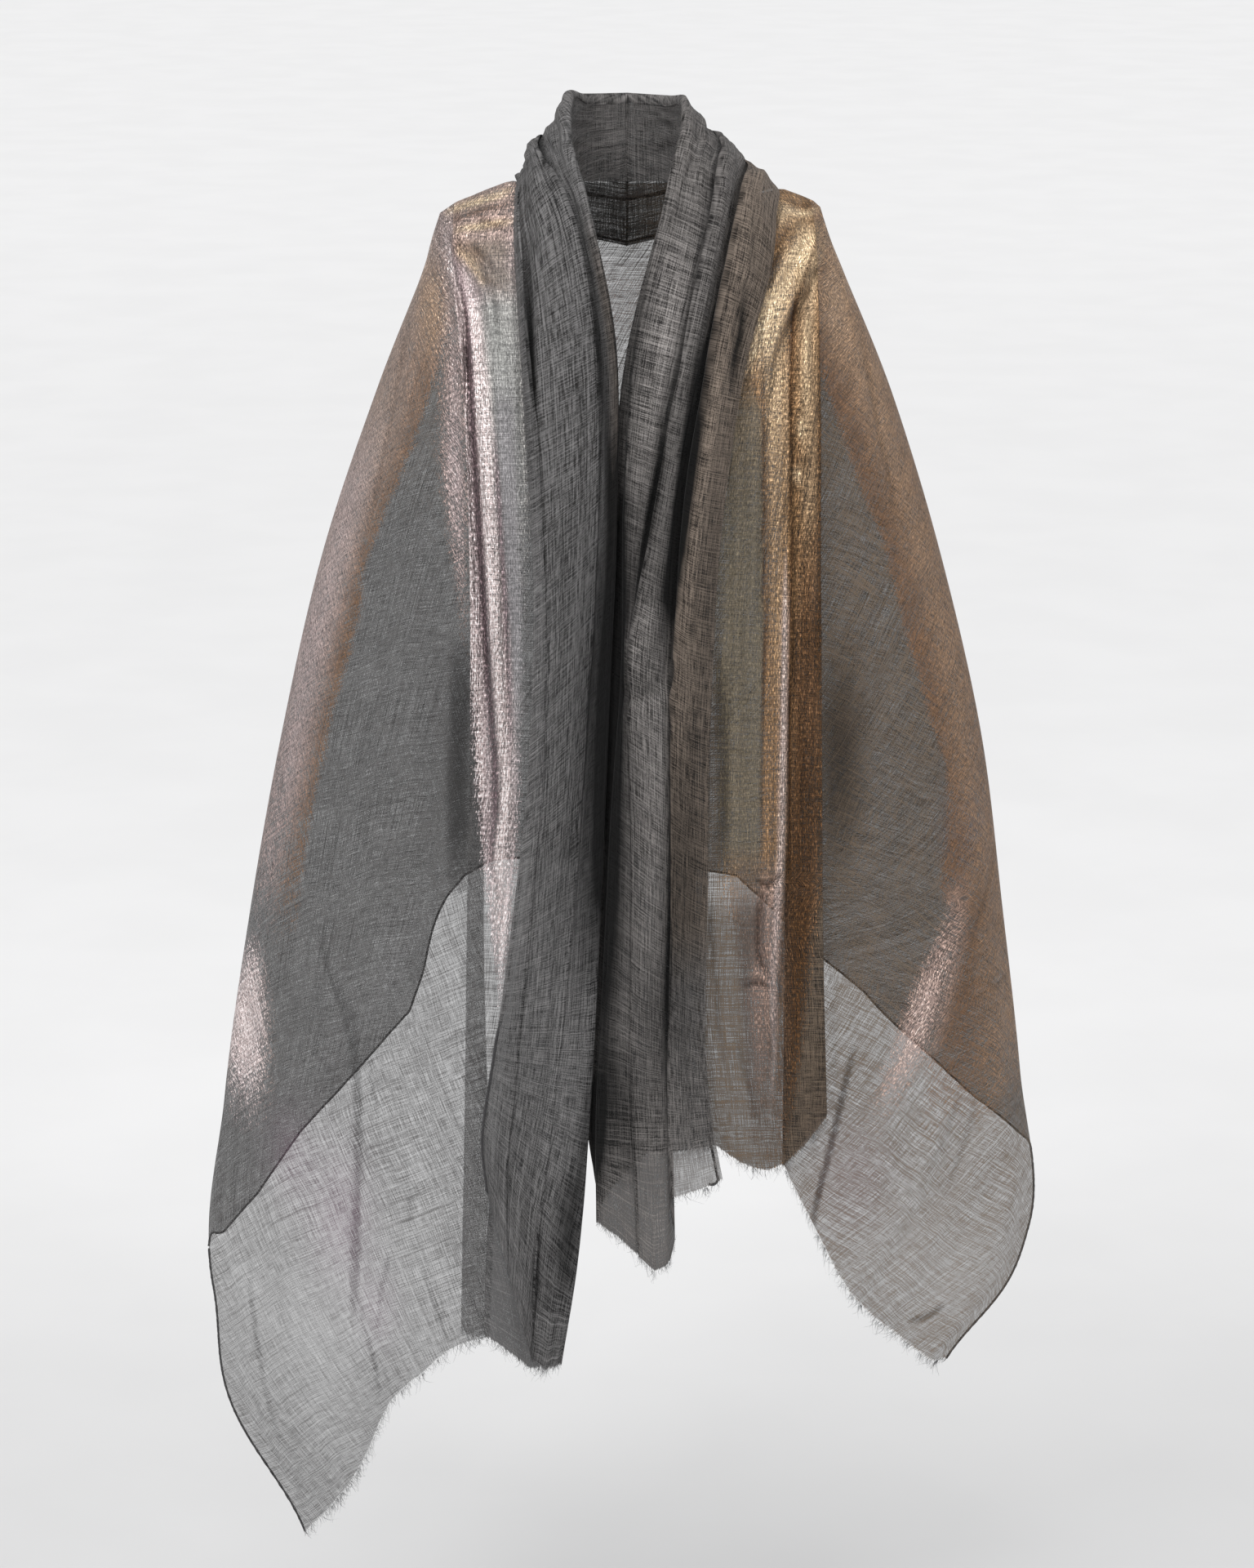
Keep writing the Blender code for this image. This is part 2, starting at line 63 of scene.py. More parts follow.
MM = 0.001
PLY = 1.6 * MM  # from one ply of a pleat to the next
WING_DEPTH = 3.0  # plies from a front to the cloth that turns out again behind its pleat
PLEAT_HANDLE = (0.42, 0.22, 0.34)  # shares of its reach by which a wing leaves the pleat
BLADE_HANDLE = (0.42, 0.12, 0.34)  # the same where it meets the back
ARM_HANDLE = (0.0, 0.55, 0.33)  # and where it turns round the arm
FRONT_SWELL = 4 * MM  # how far the middle of each front stands out before its edges
SIDE_HEM_SAG = 30 * MM  # the back's hem, between the side and the shoulder blade
RIDGE_RADIUS = 12 * MM  # of the cloth over the shoulder's ridge
RIDGE_REACH = 45 * MM  # how far in front of it and behind it the cloth is rounded
ROW_STEP = 3.0 * MM  # between the rows of a grid
TEAR = 6 * MM  # how far the frayed ends are worn open
HEM_RADIUS = 1.2 * MM  # of the rolled hems
COLLAR_HEM_RADIUS = HEM_RADIUS * 1.2
THREADS_PER_MM = 1.5  # of the frayed ends
LONGEST_THREAD = 13  # millimetres

# Stations follow the scarf from the spine round the neck and down each front.
SPINE, BEHIND, NECK, SHOULDER, COLLARBONE, CHEST, BUST = range(7)
WAIST, HIP, THIGH, KNEE, SHIN, END = range(7, 13)
BACK_HEM = 10.8  # station where the back's hem meets the side line

# Lines along the cloth, in millimetres: one row a station. The first three start at the spine
# and the others at the shoulder. The back's lines end at the station after the back hem.
#   edge: free long edge of the collar     roll: fold at the neck opening
#   tuck: cloth under the collar's edge    fold, pleat: outer and inner folds of the pleat
#   side: outline over the arm, then the free hem
#   blade, nape, collar_base, spine: the back, from the shoulder blade to the middle
# Three lines differ from the part's: the left tuck's last two rows lie up to 10 mm further out,
# the left pleat's lower rows up to 13 mm aside, and the right side's upper rows up to 8 mm out.
LEFT = {
    #          x     y     z
    "edge": (
        (0, 122, -72), (-80, 104, -50), (-108, 42, -8), (-110, -16, 7), (-111, -64, -28),
        (-109, -98, -72), (-102, -135, -180), (-93, -143, -370), (-99, -144, -560), (-119, -143, -738),
        (-136, -142, -861), (-149, -140, -950), (-145, -139, -1012),
    ),
    "roll": (
        (0, 80, 82), (-42, 60, 84), (-57, 20, 92), (-58, -26, 60), (-53, -58, 36), (-38, -94, -12),
        (-13, -131, -136), (-12, -141, -300), (-19, -142, -480), (-28, -141, -680), (-38, -140, -880),
        (-51, -139, -1070), (-70, -138, -1200),
    ),
    "tuck": (
        (0, 66, 2), (-42, 50, 4), (-62, 14, 8), (-78, -5, 7), (-90, -44, -16), (-97, -76, -54),
        (-92, -122, -185), (-84, -130, -370), (-88, -131, -550), (-108, -130, -735), (-130, -129, -915),
        (-145, -128, -1060), (-150, -127, -1180),
    ),
    "fold": (
        (-172, 0, -14), (-172, -42, -28), (-171, -74, -62), (-160, -116, -190), (-156, -124, -370),
        (-158, -125, -550), (-163, -125, -735), (-167, -124, -915), (-171, -123, -1060),
        (-174, -122, -1175),
    ),
    "pleat": (
        (-168, 0, -13), (-166, -40, -27), (-163, -72, -62), (-150, -112, -190), (-142, -119, -370),
        (-143, -120, -550), (-147, -120, -735), (-145, -119, -915), (-141, -118, -1060),
        (-147, -117, -1190),
    ),
    "side": (
        (-187, 0, -21), (-196, 0, -50), (-208, 0, -88), (-254, 0, -202), (-312, 0, -370),
        (-358, 0, -560), (-396, 0, -755), (-428, -2, -960), (-445, -10, -1175), (-349, -55, -1441),
    ),
    "blade": (
        (-150, 0, -7), (-152, 46, -24), (-156, 82, -66), (-163, 112, -175), (-172, 123, -325),
        (-182, 127, -475), (-192, 128, -610), (-202, 128, -735), (-213, 128, -855),
    ),
}
RIGHT = {
    #          x     y     z
    "edge": (
        (0, 122, -72), (84, 104, -48), (124, 46, -12), (150, -8, 4), (147, -58, -16), (141, -94, -64),
        (113, -133, -168), (92, -145, -330), (84, -146, -500), (82, -145, -680), (80, -144, -840),
        (88, -142, -935), (99, -141, -1000),
    ),
    "roll": (
        (0, 80, 82), (42, 60, 82), (57, 20, 87), (56, -25, 64), (49, -55, 40), (37, -90, -8),
        (10, -130, -136), (-1, -142, -290), (-3, -144, -450), (-14, -143, -610), (-22, -142, -780),
        (-29, -141, -930), (-29, -140, -1046),
    ),
    "tuck": (
        (0, 66, 2), (42, 50, 4), (62, 14, 8), (92, -5, 4), (116, -42, -14), (126, -74, -56),
        (102, -120, -180), (82, -130, -340), (72, -131, -510), (70, -131, -690), (69, -130, -820),
        (78, -129, -908), (92, -128, -968),
    ),
    "fold": (
        (182, 0, -13), (185, -42, -26), (187, -74, -62), (190, -116, -190), (192, -124, -350),
        (195, -125, -515), (198, -125, -680), (201, -124, -800), (204, -123, -880), (206, -122, -938),
    ),
    "pleat": (
        (176, 0, -12), (174, -40, -26), (168, -72, -62), (161, -111, -190), (161, -118, -350),
        (162, -119, -515), (163, -119, -685), (163, -118, -825), (163, -117, -930), (163, -116, -996),
    ),
    "side": (
        (193, 0, -15), (203, 0, -46), (219, 0, -84), (269, 0, -205), (321, 0, -370), (367, 0, -560),
        (394, 0, -750), (417, -2, -930), (431, -10, -1100), (342, -50, -1240),
    ),
    "blade": (
        (150, 0, -7), (152, 46, -24), (156, 82, -66), (163, 112, -175), (172, 123, -325),
        (182, 127, -478), (192, 128, -618), (203, 128, -750), (216, 128, -876),
    ),
}
# The middle of the back is the same on both sides; x is the distance from the middle.
BACK = {
    "nape": (
        (67, 4, 8), (77, 52, -18), (84, 90, -64), (90, 118, -173), (95, 129, -313), (100, 132, -445),
        (104, 133, -560), (107, 133, -655), (110, 133, -742),
    ),
    "collar_base": (
        (46, 53, 2), (52, 73, -20), (52, 99, -65), (48, 121, -171), (48, 131, -308), (50, 134, -436),
        (52, 134, -548), (54, 134, -648), (55, 134, -734),
    ),
    "spine": (
        (0, 69, 0), (0, 86, -22), (0, 104, -66), (0, 124, -170), (0, 132, -305), (0, 134, -430),
        (0, 134, -540), (0, 134, -640), (0, 134, -730),
    ),
}
ROUND_THE_NECK = ("edge", "roll", "tuck")  # these start at the spine

# The collar's two laid folds and its thickness, one row a station: how far each fold lies
# from the edge to the roll, how high each stands, half the roll's thickness and the crown.
# They lie flatter than the part's over the shoulders, and the right outer fold ends further in.
#   outer  inner  outer_mm  inner_mm  half_mm  crown_mm
LEFT_COLLAR = (
    (0.30, 0.66, 2, 2, 9, 4),
    (0.28, 0.62, 3, 3, 8, 4),
    (0.22, 0.56, 2, 5, 5, 3),
    (0.16, 0.55, 2, 6, 4, 3),
    (0.14, 0.74, 3, 6, 6, 6),
    (0.13, 0.84, 3, 5, 5, 8),
    (0.12, 0.82, 3, 4, 4, 7),
    (0.14, 0.78, 2, 3, 4, 6),
    (0.18, 0.74, 2, 2, 4, 6),
    (0.22, 0.70, 2, 2, 4, 7),
    (0.24, 0.66, 2, 2, 4, 8),
    (0.26, 0.62, 2, 2, 4, 8),
    (0.28, 0.60, 2, 2, 4, 7),
)
RIGHT_COLLAR = (
    (0.30, 0.66, 2, 2, 9, 4),
    (0.32, 0.64, 4, 3, 8, 4),
    (0.34, 0.62, 3, 4, 5, 3),
    (0.36, 0.62, 3, 6, 4, 2),
    (0.38, 0.62, 8, 9, 5, 6),
    (0.38, 0.60, 11, 9, 4, 8),
    (0.30, 0.58, 13, 8, 4, 7),
    (0.36, 0.72, 13, 7, 4, 6),
    (0.42, 0.90, 8, 4, 4, 8),
    (0.38, 0.80, 4, 2, 4, 9),
    (0.37, 0.74, 4, 2, 4, 9),
    (0.38, 0.70, 4, 2, 4, 8),
    (0.41, 0.68, 4, 2, 4, 7),
)
# Soft hanging folds of the two wings: middle (0 at the pleat, 1 at the side), the stations
# where each starts and is full, its half width as a share of the wing, and its height.
#   middle  starts  full  half_width  height_mm
LEFT_WING_FOLDS = (
    (0.30, 6.0, 10.5, 0.13, 9),
    (0.55, 8.0, 11.0, 0.12, 13),
    (0.80, 7.0, 10.5, 0.12, -8),
)
RIGHT_WING_FOLDS = (
    (0.28, 6.0, 10.5, 0.13, 11),
    (0.52, 8.0, 11.0, 0.13, -9),
    (0.74, 7.0, 11.0, 0.12, 10),
)
# Soft folds that fall from the shoulder blades: middle (x), starts, full, half width, height
#   x_mm  starts  full  half_width_mm  height_mm
BACK_FOLDS = (
    (-118, 5.0, 9.0, 34, 9),
    (-48, 6.0, 10.0, 30, 7),
    (30, 6.0, 10.0, 32, -6),
    (104, 5.0, 9.0, 36, 10),
)
# The cloth over the shoulders stands this much over the ridge's plain line: x, extra height.
LEFT_CROWN = ((0, 0), (92, 0), (102, 4), (112, 11), (121, 11), (138, 8), (152, 5), (168, 4), (187, 0))
RIGHT_CROWN = ((0, 0), (126, 0), (140, 5), (150, 10), (157, 11), (174, 8), (186, 5), (193, 0))
# The frayed short ends: how far each line of the cloth ends above (+) or below (-) where its
# panel's corners alone would put it, in millimetres, from the inner edge of the panel outwards.
# The two collars' rows differ from the part's.
#   the collar: edge, outer fold x2, middle, inner fold x2, near the roll, roll x3, under x2, tuck
LEFT_COLLAR_END = (0, -34, -34, -54, -74, -74, -49, -7, -7, -10, -11, -25, 0)
RIGHT_COLLAR_END = (0, 3, -72, -72, -50, -48, -23, -2, 0, 0, 24, 40, 0)
#   the fronts, from the tuck to the fold, and the wings, from the pleat to the side
LEFT_FRONT_END = (0, -3, -4, -3, 0)
RIGHT_FRONT_END = (0, -27, -41, -30, -2)
LEFT_WING_END = (0, 20, 24, 20, -18, -36, -38, -24, 0)
RIGHT_WING_END = (0, -33, -63, -77, -77, -67, -50, -26, 0)

# Creases and soft wrinkles. Height is out (+) or in (-), and plies is the cloth
# that a pinched crease gathers on top of the one ply there. The route is x, z in millimetres.
#   height_mm  half_width_mm  plies  route
LEFT_FRONT_CREASES = (
    (7.0, 10, 0.0, ((-188, -16), (-178, -60), (-170, -96), (-162, -112), (-158, -160))),
    (-7.0, 4, 0.9, ((-184, -19), (-174, -58), (-167, -86), (-161, -109), (-158, -150), (-156, -200))),
    (7.5, 6, 0.0, ((-178, -34), (-166, -49), (-151, -66), (-141, -82), (-133, -104), (-128, -140))),
    (-6.5, 5, 0.3, ((-166, -36), (-150, -50), (-137, -64), (-126, -84))),
    (-5.0, 4, 0.4, ((-118, -16), (-128, -24), (-140, -24), (-150, -16))),
    (5.5, 5, 0.0, ((-116, -6), (-134, -12), (-152, -16), (-170, -24))),
    (-4.5, 4, 0.2, ((-112, -30), (-126, -38), (-140, -34))),
    (-4.0, 4, 0.5, (
        (-160, -76), (-159, -115), (-157, -171), (-153, -244), (-148, -343), (-142, -435), (-137, -494),
        (-133, -553), (-132, -604), (-137, -644),
    )),
    (4.5, 8, 0.0, (
        (-151, -102), (-146, -171), (-140, -244), (-136, -326), (-131, -409), (-126, -485), (-122, -561),
        (-125, -622), (-129, -682),
    )),
    (3.0, 5, 0.0, ((-167, -83), (-164, -147), (-160, -228), (-157, -310), (-154, -393), (-150, -477))),
    (-2.6, 3, 0.4, ((-127, -310), (-123, -393), (-121, -468), (-122, -527), (-129, -570))),
    (-2.2, 3, 0.3, ((-129, -570), (-139, -613), (-138, -656), (-132, -682), (-128, -730))),
    (-2.4, 4, 0.2, ((-134, -150), (-126, -240), (-119, -360), (-112, -470), (-110, -560))),
    (-1.8, 3, 0.2, ((-128, -680), (-133, -760), (-135, -840), (-132, -930), (-129, -1010))),
    (1.8, 3, 0.0, ((-122, -690), (-126, -780), (-128, -880))),
    (-1.6, 3, 0.2, ((-118, -740), (-121, -800), (-122, -860))),
    (-2.0, 3, 0.2, ((-106, -170), (-104, -300), (-102, -420))),
)
RIGHT_FRONT_CREASES = (
    (8.0, 10, 0.0, ((198, -16), (188, -44), (178, -72), (160, -102), (140, -144), (126, -182))),
    (-8.0, 6, 0.6, ((199, -24), (190, -54), (182, -80), (164, -110), (147, -150), (138, -205))),
    (7.0, 6, 0.0, ((180, -20), (164, -46), (146, -76), (131, -104))),
    (-6.0, 5, 0.3, ((176, -14), (160, -34), (142, -58), (126, -84))),
    (-4.5, 4, 0.2, ((150, -8), (142, -24), (132, -42))),
    (4.5, 4, 0.0, ((160, -10), (150, -28), (138, -46), (130, -62))),
    (-4.0, 2.6, 0.9, (
        (157, -86), (160, -179), (164, -277), (165, -359), (165, -443), (162, -527), (163, -613),
        (162, -699), (156, -787), (144, -875),
    )),
    (-2.6, 2.4, 0.5, ((151, -98), (154, -195), (155, -277), (154, -360))),
    (3.0, 5, 0.0, ((143, -98), (142, -179), (142, -277), (144, -359), (148, -443), (153, -520))),
    (3.4, 4, 0.0, ((158, -440), (159, -527), (159, -596), (157, -656), (155, -691))),
    (-2.6, 4, 0.2, ((136, -150), (133, -260), (134, -380), (137, -500), (136, -600))),
    (2.4, 5, 0.0, ((128, -170), (124, -300), (123, -430), (127, -560), (130, -660))),
    (-2.0, 3, 0.2, ((117, -200), (113, -340), (113, -450), (116, -560), (118, -660))),
    (-1.8, 3, 0.2, ((106, -230), (103, -340), (104, -450), (106, -560))),
    (0.0, 9, 0.9, ((95, -440), (96, -520), (97, -590), (96, -640), (96, -676), (96, -680))),
    (-6.0, 3, 0.9, ((132, -675), (141, -686), (157, -670))),
    (-7.0, 3.4, 1.0, ((138, -682), (134, -717), (133, -752), (140, -774), (154, -787))),
    (6.0, 5, 0.0, ((146, -684), (143, -720), (144, -750), (152, -772))),
    (5.0, 4, 0.0, ((118, -784), (135, -780), (154, -784))),
    (-4.0, 3, 0.6, ((116, -792), (133, -790), (152, -796))),
    (-2.4, 4, 0.3, ((112, -838), (118, -872), (126, -905), (137, -952))),
    (2.8, 3, 0.0, ((153, -796), (151, -858), (146, -920), (144, -965))),
    (-2.2, 3, 0.4, ((83, -699), (89, -769), (94, -831), (101, -884))),
    (3.0, 6, 0.0, ((173, -35), (175, -115), (178, -195), (178, -300))),
    (2.0, 6, 0.0, ((180, -300), (182, -400), (182, -520), (181, -620))),
    (-2.4, 4, 0.2, ((188, -120), (190, -260), (191, -400), (190, -520))),
    (-2.0, 3, 0.2, ((172, -480), (174, -560), (173, -640), (175, -700))),
    (1.8, 3, 0.0, ((178, -470), (180, -560), (180, -640))),
)
LEFT_WING_CREASES = (
    (-4.0, 6.0, 0.6, (
        (-284, -820), (-281, -905), (-280, -965), (-283, -1040), (-286, -1105), (-289, -1190),
    )),
    (-2.0, 3.0, 0.4, ((-322, -735), (-310, -790), (-296, -838), (-284, -895), (-280, -955))),
    (-1.8, 2.4, 0.4, ((-298, -800), (-292, -838), (-286, -880), (-281, -930), (-279, -968))),
    (-1.6, 2.4, 0.3, ((-268, -858), (-266, -900), (-262, -935), (-256, -972))),
    (-1.8, 3.0, 0.3, ((-284, -1150), (-277, -1185), (-268, -1222), (-262, -1262))),
    (-1.6, 3.0, 0.3, ((-250, -1098), (-258, -1140), (-264, -1186))),
    (1.8, 5.0, 0.0, ((-240, -1080), (-236, -1120), (-228, -1166))),
    (-1.6, 3.0, 0.3, ((-216, -1108), (-204, -1148), (-190, -1196))),
    (-1.2, 3.0, 0.2, ((-208, -1150), (-194, -1162), (-182, -1170))),
    (-1.4, 3.0, 0.2, ((-233, -990), (-228, -1030), (-226, -1076))),
    (2.4, 9.0, 0.0, ((-350, -960), (-338, -1050), (-322, -1150), (-312, -1250))),
    (-2.4, 9.0, 0.0, ((-382, -1010), (-372, -1110), (-358, -1210), (-346, -1300))),
    (-1.6, 4.0, 0.2, ((-402, -1120), (-398, -1190), (-388, -1262), (-372, -1330))),
    (2.2, 10.0, 0.0, ((-330, -480), (-318, -600), (-300, -720), (-288, -810))),
    (-2.0, 9.0, 0.0, ((-268, -330), (-252, -460), (-244, -600), (-236, -740))),
    (2.0, 8.0, 0.0, ((-226, -250), (-214, -400), (-206, -560), (-198, -700))),
    (-1.6, 4.0, 0.3, ((-214, -90), (-226, -170), (-243, -250), (-262, -330))),
    (1.8, 5.0, 0.0, ((-204, -70), (-214, -150), (-228, -240), (-246, -330))),
    (0.0, 15, 1.1, ((-166, -425), (-168, -500), (-171, -580), (-172, -640), (-172, -690), (-172, -700))),
)
RIGHT_WING_CREASES = (
    (-3.6, 4.4, 1.0, ((236, -864), (230, -890), (215, -964), (201, -1026), (195, -1058), (196, -1082))),
    (2.6, 9.0, 0.0, ((238, -900), (226, -960), (214, -1020), (206, -1070))),
    (-2.8, 6.0, 0.3, ((352, -700), (338, -742), (322, -784), (308, -822))),
    (3.6, 7.0, 0.0, ((362, -706), (346, -752), (330, -796), (312, -842), (302, -884))),
    (-2.4, 5.0, 0.2, ((282, -818), (294, -850), (304, -882))),
    (2.4, 6.0, 0.0, ((262, -838), (278, -868), (296, -894))),
    (-2.0, 4.0, 0.3, ((388, -660), (378, -700), (366, -742), (356, -780))),
    (-1.6, 4.0, 0.2, ((350, -930), (336, -975), (316, -1020))),
    (-1.4, 4.0, 0.2, ((366, -945), (352, -1000), (332, -1048))),
    (1.6, 6.0, 0.0, ((372, -1010), (340, -1070), (306, -1116))),
    (-2.0, 4.0, 0.5, ((338, -1168), (318, -1182), (298, -1186))),
    (2.2, 10.0, 0.0, ((322, -470), (314, -600), (300, -720), (284, -810))),
    (-2.0, 9.0, 0.0, ((268, -320), (258, -450), (246, -600), (240, -730))),
    (2.0, 8.0, 0.0, ((232, -250), (228, -400), (220, -560), (216, -690))),
    (-1.6, 4.0, 0.3, ((226, -90), (240, -170), (256, -250), (276, -330))),
    (1.8, 5.0, 0.0, ((214, -60), (228, -150), (244, -240), (262, -330))),
)
BACK_CREASES = (
    (5.0, 16, 0.0, ((-150, -30), (-120, -110), (-86, -190), (-50, -240))),
    (-4.0, 10, 0.2, ((-158, -40), (-136, -130), (-112, -230), (-98, -340))),
    (5.0, 16, 0.0, ((152, -30), (124, -120), (92, -200), (58, -250))),
    (-4.0, 10, 0.2, ((160, -46), (140, -140), (120, -250), (110, -360))),
    (3.0, 12, 0.0, ((-70, -40), (-40, -80), (0, -96), (40, -82), (72, -44))),
    (-2.6, 9, 0.0, ((-90, -80), (-46, -128), (0, -146), (50, -130), (92, -84))),
    (3.2, 14, 0.0, ((-20, -260), (-24, -400), (-18, -560), (-22, -700))),
    (-2.6, 10, 0.0, ((70, -300), (76, -440), (72, -580), (78, -700))),
    (3.0, 14, 0.0, ((-190, -180), (-214, -340), (-240, -520), (-262, -700))),
    (-2.6, 11, 0.0, ((-230, -240), (-262, -420), (-292, -600), (-320, -790))),
    (3.0, 14, 0.0, ((196, -190), (224, -350), (250, -520), (274, -680))),
    (-2.6, 11, 0.0, ((238, -240), (272, -420), (300, -590), (330, -770))),
    (-1.8, 5, 0.3, ((-196, -60), (-222, -150), (-250, -240))),
    (-1.8, 5, 0.3, ((204, -56), (234, -150), (262, -240))),
)
LEFT_COLLAR_CREASES = (
    (-5.0, 5, 0.8, (
        (-80, 60), (-70, 48), (-60, 28), (-52, 4), (-44, -20), (-36, -56), (-30, -93), (-26, -135),
        (-22, -177), (-19, -240), (-17, -305), (-18, -370),
    )),
    (4.5, 7, 0.0, ((-84, 50), (-74, 34), (-66, 10), (-58, -18), (-50, -56), (-43, -98), (-38, -150))),
    (-3.4, 4, 0.6, ((-101, -24), (-98, -56), (-96, -93), (-94, -143), (-91, -175), (-90, -208))),
    (3.0, 5, 0.0, ((-92, -30), (-89, -70), (-87, -120), (-84, -190), (-84, -260))),
    (3.0, 9, 0.0, (
        (-61, -1), (-54, -71), (-49, -151), (-48, -240), (-52, -338), (-57, -438), (-64, -539),
        (-69, -641), (-77, -745),
    )),
    (2.0, 8, 0.0, ((-84, -20), (-72, -60), (-62, -120), (-54, -200), (-50, -300), (-52, -420))),
    (-1.4, 5, 0.2, ((-72, -160), (-66, -260), (-64, -380), (-66, -500), (-72, -620))),
    (1.6, 7, 0.0, ((-44, -300), (-46, -440), (-50, -600), (-58, -760), (-70, -920))),
    (-1.4, 5, 0.3, ((-34, -330), (-36, -470), (-42, -620), (-48, -780), (-58, -940))),
    (1.6, 8, 0.0, ((-82, -420), (-90, -560), (-100, -700), (-112, -830), (-122, -940))),
    (-1.6, 6, 0.3, ((-66, -700), (-76, -820), (-88, -930), (-98, -1010))),
    (2.0, 8, 0.0, ((-104, -960), (-106, -1040), (-112, -1110), (-118, -1160))),
    (-2.2, 6, 0.5, ((-92, -1040), (-96, -1100), (-104, -1160))),
)
RIGHT_COLLAR_CREASES = (
    (-3.4, 4, 0.5, ((74, 58), (62, 34), (52, 2), (46, -40))),
    (-3.4, 4, 0.6, ((128, 22), (126, 2), (125, -22), (124, -58))),
    (-5.0, 4, 0.9, ((116, -66), (115, -95), (113, -119), (109, -143), (105, -176))),
    (-3.0, 3, 0.5, ((109, -64), (107, -103), (104, -143), (101, -176))),
    (4.0, 6, 0.0, (
        (94, -60), (93, -127), (86, -175), (80, -224), (75, -273), (71, -322), (65, -371), (60, -421),
        (57, -463),
    )),
    (-4.0, 5, 0.5, (
        (63, -96), (57, -127), (50, -148), (41, -182), (34, -216), (29, -264), (18, -320), (7, -369),
        (-1, -422),
    )),
    (2.0, 7, 0.0, ((50, -60), (36, -130), (24, -220), (14, -330), (8, -430))),
    (-1.6, 5, 0.2, ((38, -80), (28, -150), (17, -240), (8, -340), (4, -440))),
    (1.6, 7, 0.0, ((12, -260), (6, -380), (2, -500), (-2, -640))),
    (5.0, 14, 0.0, ((24, -388), (16, -430), (10, -468))),
    (-4.5, 8, 0.0, ((48, -440), (30, -468), (8, -482), (-6, -470))),
    (3.4, 10, 0.0, ((46, -470), (30, -496), (12, -510), (-2, -500))),
    (1.8, 9, 0.0, ((26, -560), (22, -680), (16, -800), (10, -920))),
    (-1.8, 7, 0.3, ((48, -560), (46, -680), (40, -800), (34, -920))),
    (1.6, 8, 0.0, ((64, -560), (62, -700), (56, -840))),
    (-1.6, 6, 0.3, ((-6, -600), (-8, -740), (-12, -880), (-14, -990))),
)

# Broad strokes of painted shade (+) and painted highlights (-) on the collars, over the painted
# shade of their folds: darker in the valleys, low down and in the gap between the collars, lighter
# on sheen patches and on the rims of the folds. The dark strokes also gather plies.
#   strength  half_width_mm  route
LEFT_COLLAR_SHADE_AND_HIGHLIGHTS = (
    (1.0, 13, (
        (-14, -210), (-13, -260), (-14, -305), (-16, -371), (-19, -438), (-21, -505), (-24, -573),
        (-27, -641), (-31, -710), (-38, -800),
    )),
    (0.45, 26, ((-28, -260), (-32, -355), (-36, -438), (-38, -522), (-44, -607), (-48, -693), (-56, -800))),
    (0.5, 6, ((-30, -60), (-26, -93), (-23, -135), (-20, -177), (-17, -240), (-15, -305))),
    (0.4, 5, ((-100, -24), (-97, -56), (-95, -93), (-93, -143), (-90, -208))),
    (-0.35, 14, ((-86, -230), (-90, -330), (-94, -430), (-98, -530), (-104, -640), (-112, -760))),
    (-0.25, 12, ((-62, -820), (-70, -900), (-80, -990), (-92, -1080))),
    (0.8, 15, ((-54, -980), (-58, -1020), (-61, -1060), (-65, -1100), (-69, -1140))),
    (0.5, 8, ((-34, -860), (-40, -920), (-46, -980), (-50, -1030))),
    (-0.3, 10, ((-132, -1010), (-130, -1060), (-126, -1110), (-120, -1160))),
)
RIGHT_COLLAR_SHADE_AND_HIGHLIGHTS = (
    (-0.8, 17, ((54, -16), (44, -80), (32, -140), (20, -220), (12, -290))),
    (0.42, 36, ((34, -500), (34, -620), (34, -740), (32, -860), (26, -960))),
    (1.1, 12, (
        (-2, -250), (-5, -305), (-7, -371), (-9, -438), (-10, -505), (-12, -573), (-14, -641),
        (-17, -710), (-20, -780), (-25, -868), (-29, -957), (-30, -1010),
    )),
    (0.8, 12, (
        (92, -56), (84, -100), (75, -150), (67, -213), (57, -290), (50, -340), (42, -400), (34, -450),
    )),
    (0.5, 9, ((74, -120), (67, -160), (61, -210), (54, -250))),
    (1.1, 9, ((68, -196), (62, -240), (54, -290), (46, -340), (36, -390), (26, -430))),
    (0.45, 12, ((50, -148), (40, -190), (32, -240), (24, -300), (12, -360), (2, -420))),
    (0.7, 5, ((114, -75), (113, -119), (108, -143), (103, -174))),
    (0.35, 10, ((88, -250), (84, -310), (80, -370), (76, -430), (74, -500), (72, -560))),
    (-0.6, 6, ((92, -130), (84, -190), (75, -240), (67, -290), (60, -345), (52, -395), (44, -430))),
    (-0.6, 12, ((30, -378), (22, -400), (14, -425), (8, -450))),
    (-0.6, 13, ((24, -440), (26, -488), (26, -564), (25, -650), (23, -736), (22, -800))),
    (0.35, 20, ((62, -470), (64, -560), (62, -660), (60, -760), (56, -860))),
    (0.6, 16, ((-10, -840), (-8, -900), (-4, -960), (0, -1010))),
    (0.9, 9, ((-31, -880), (-31, -930), (-31, -980), (-30, -1020))),
    (-0.3, 12, ((30, -1010), (32, -1040), (34, -1070), (36, -1090))),
)

# Bands of foil on the cloth's face: x of the middle, half width and strength down the cloth.
#   z_mm  x_mm  half_mm  strength
# Each is a colour, the softness of its sides and its rows. The first says where the foil is,
# and the others colour it, the later over the earlier.
# The pale rose, warm rose and pale gold below are painted highlights in the foil's colour.
ROSE_HIGHLIGHT = (0.86, 0.71, 0.69)
ROSE = (0.52, 0.42, 0.42)
ROSE_TAN = (0.30, 0.20, 0.16)
WARM_ROSE_HIGHLIGHT = (0.56, 0.41, 0.36)
LILAC = (0.28, 0.265, 0.275)
SILVER = (0.37, 0.37, 0.35)
DUSK = (0.10, 0.075, 0.062)
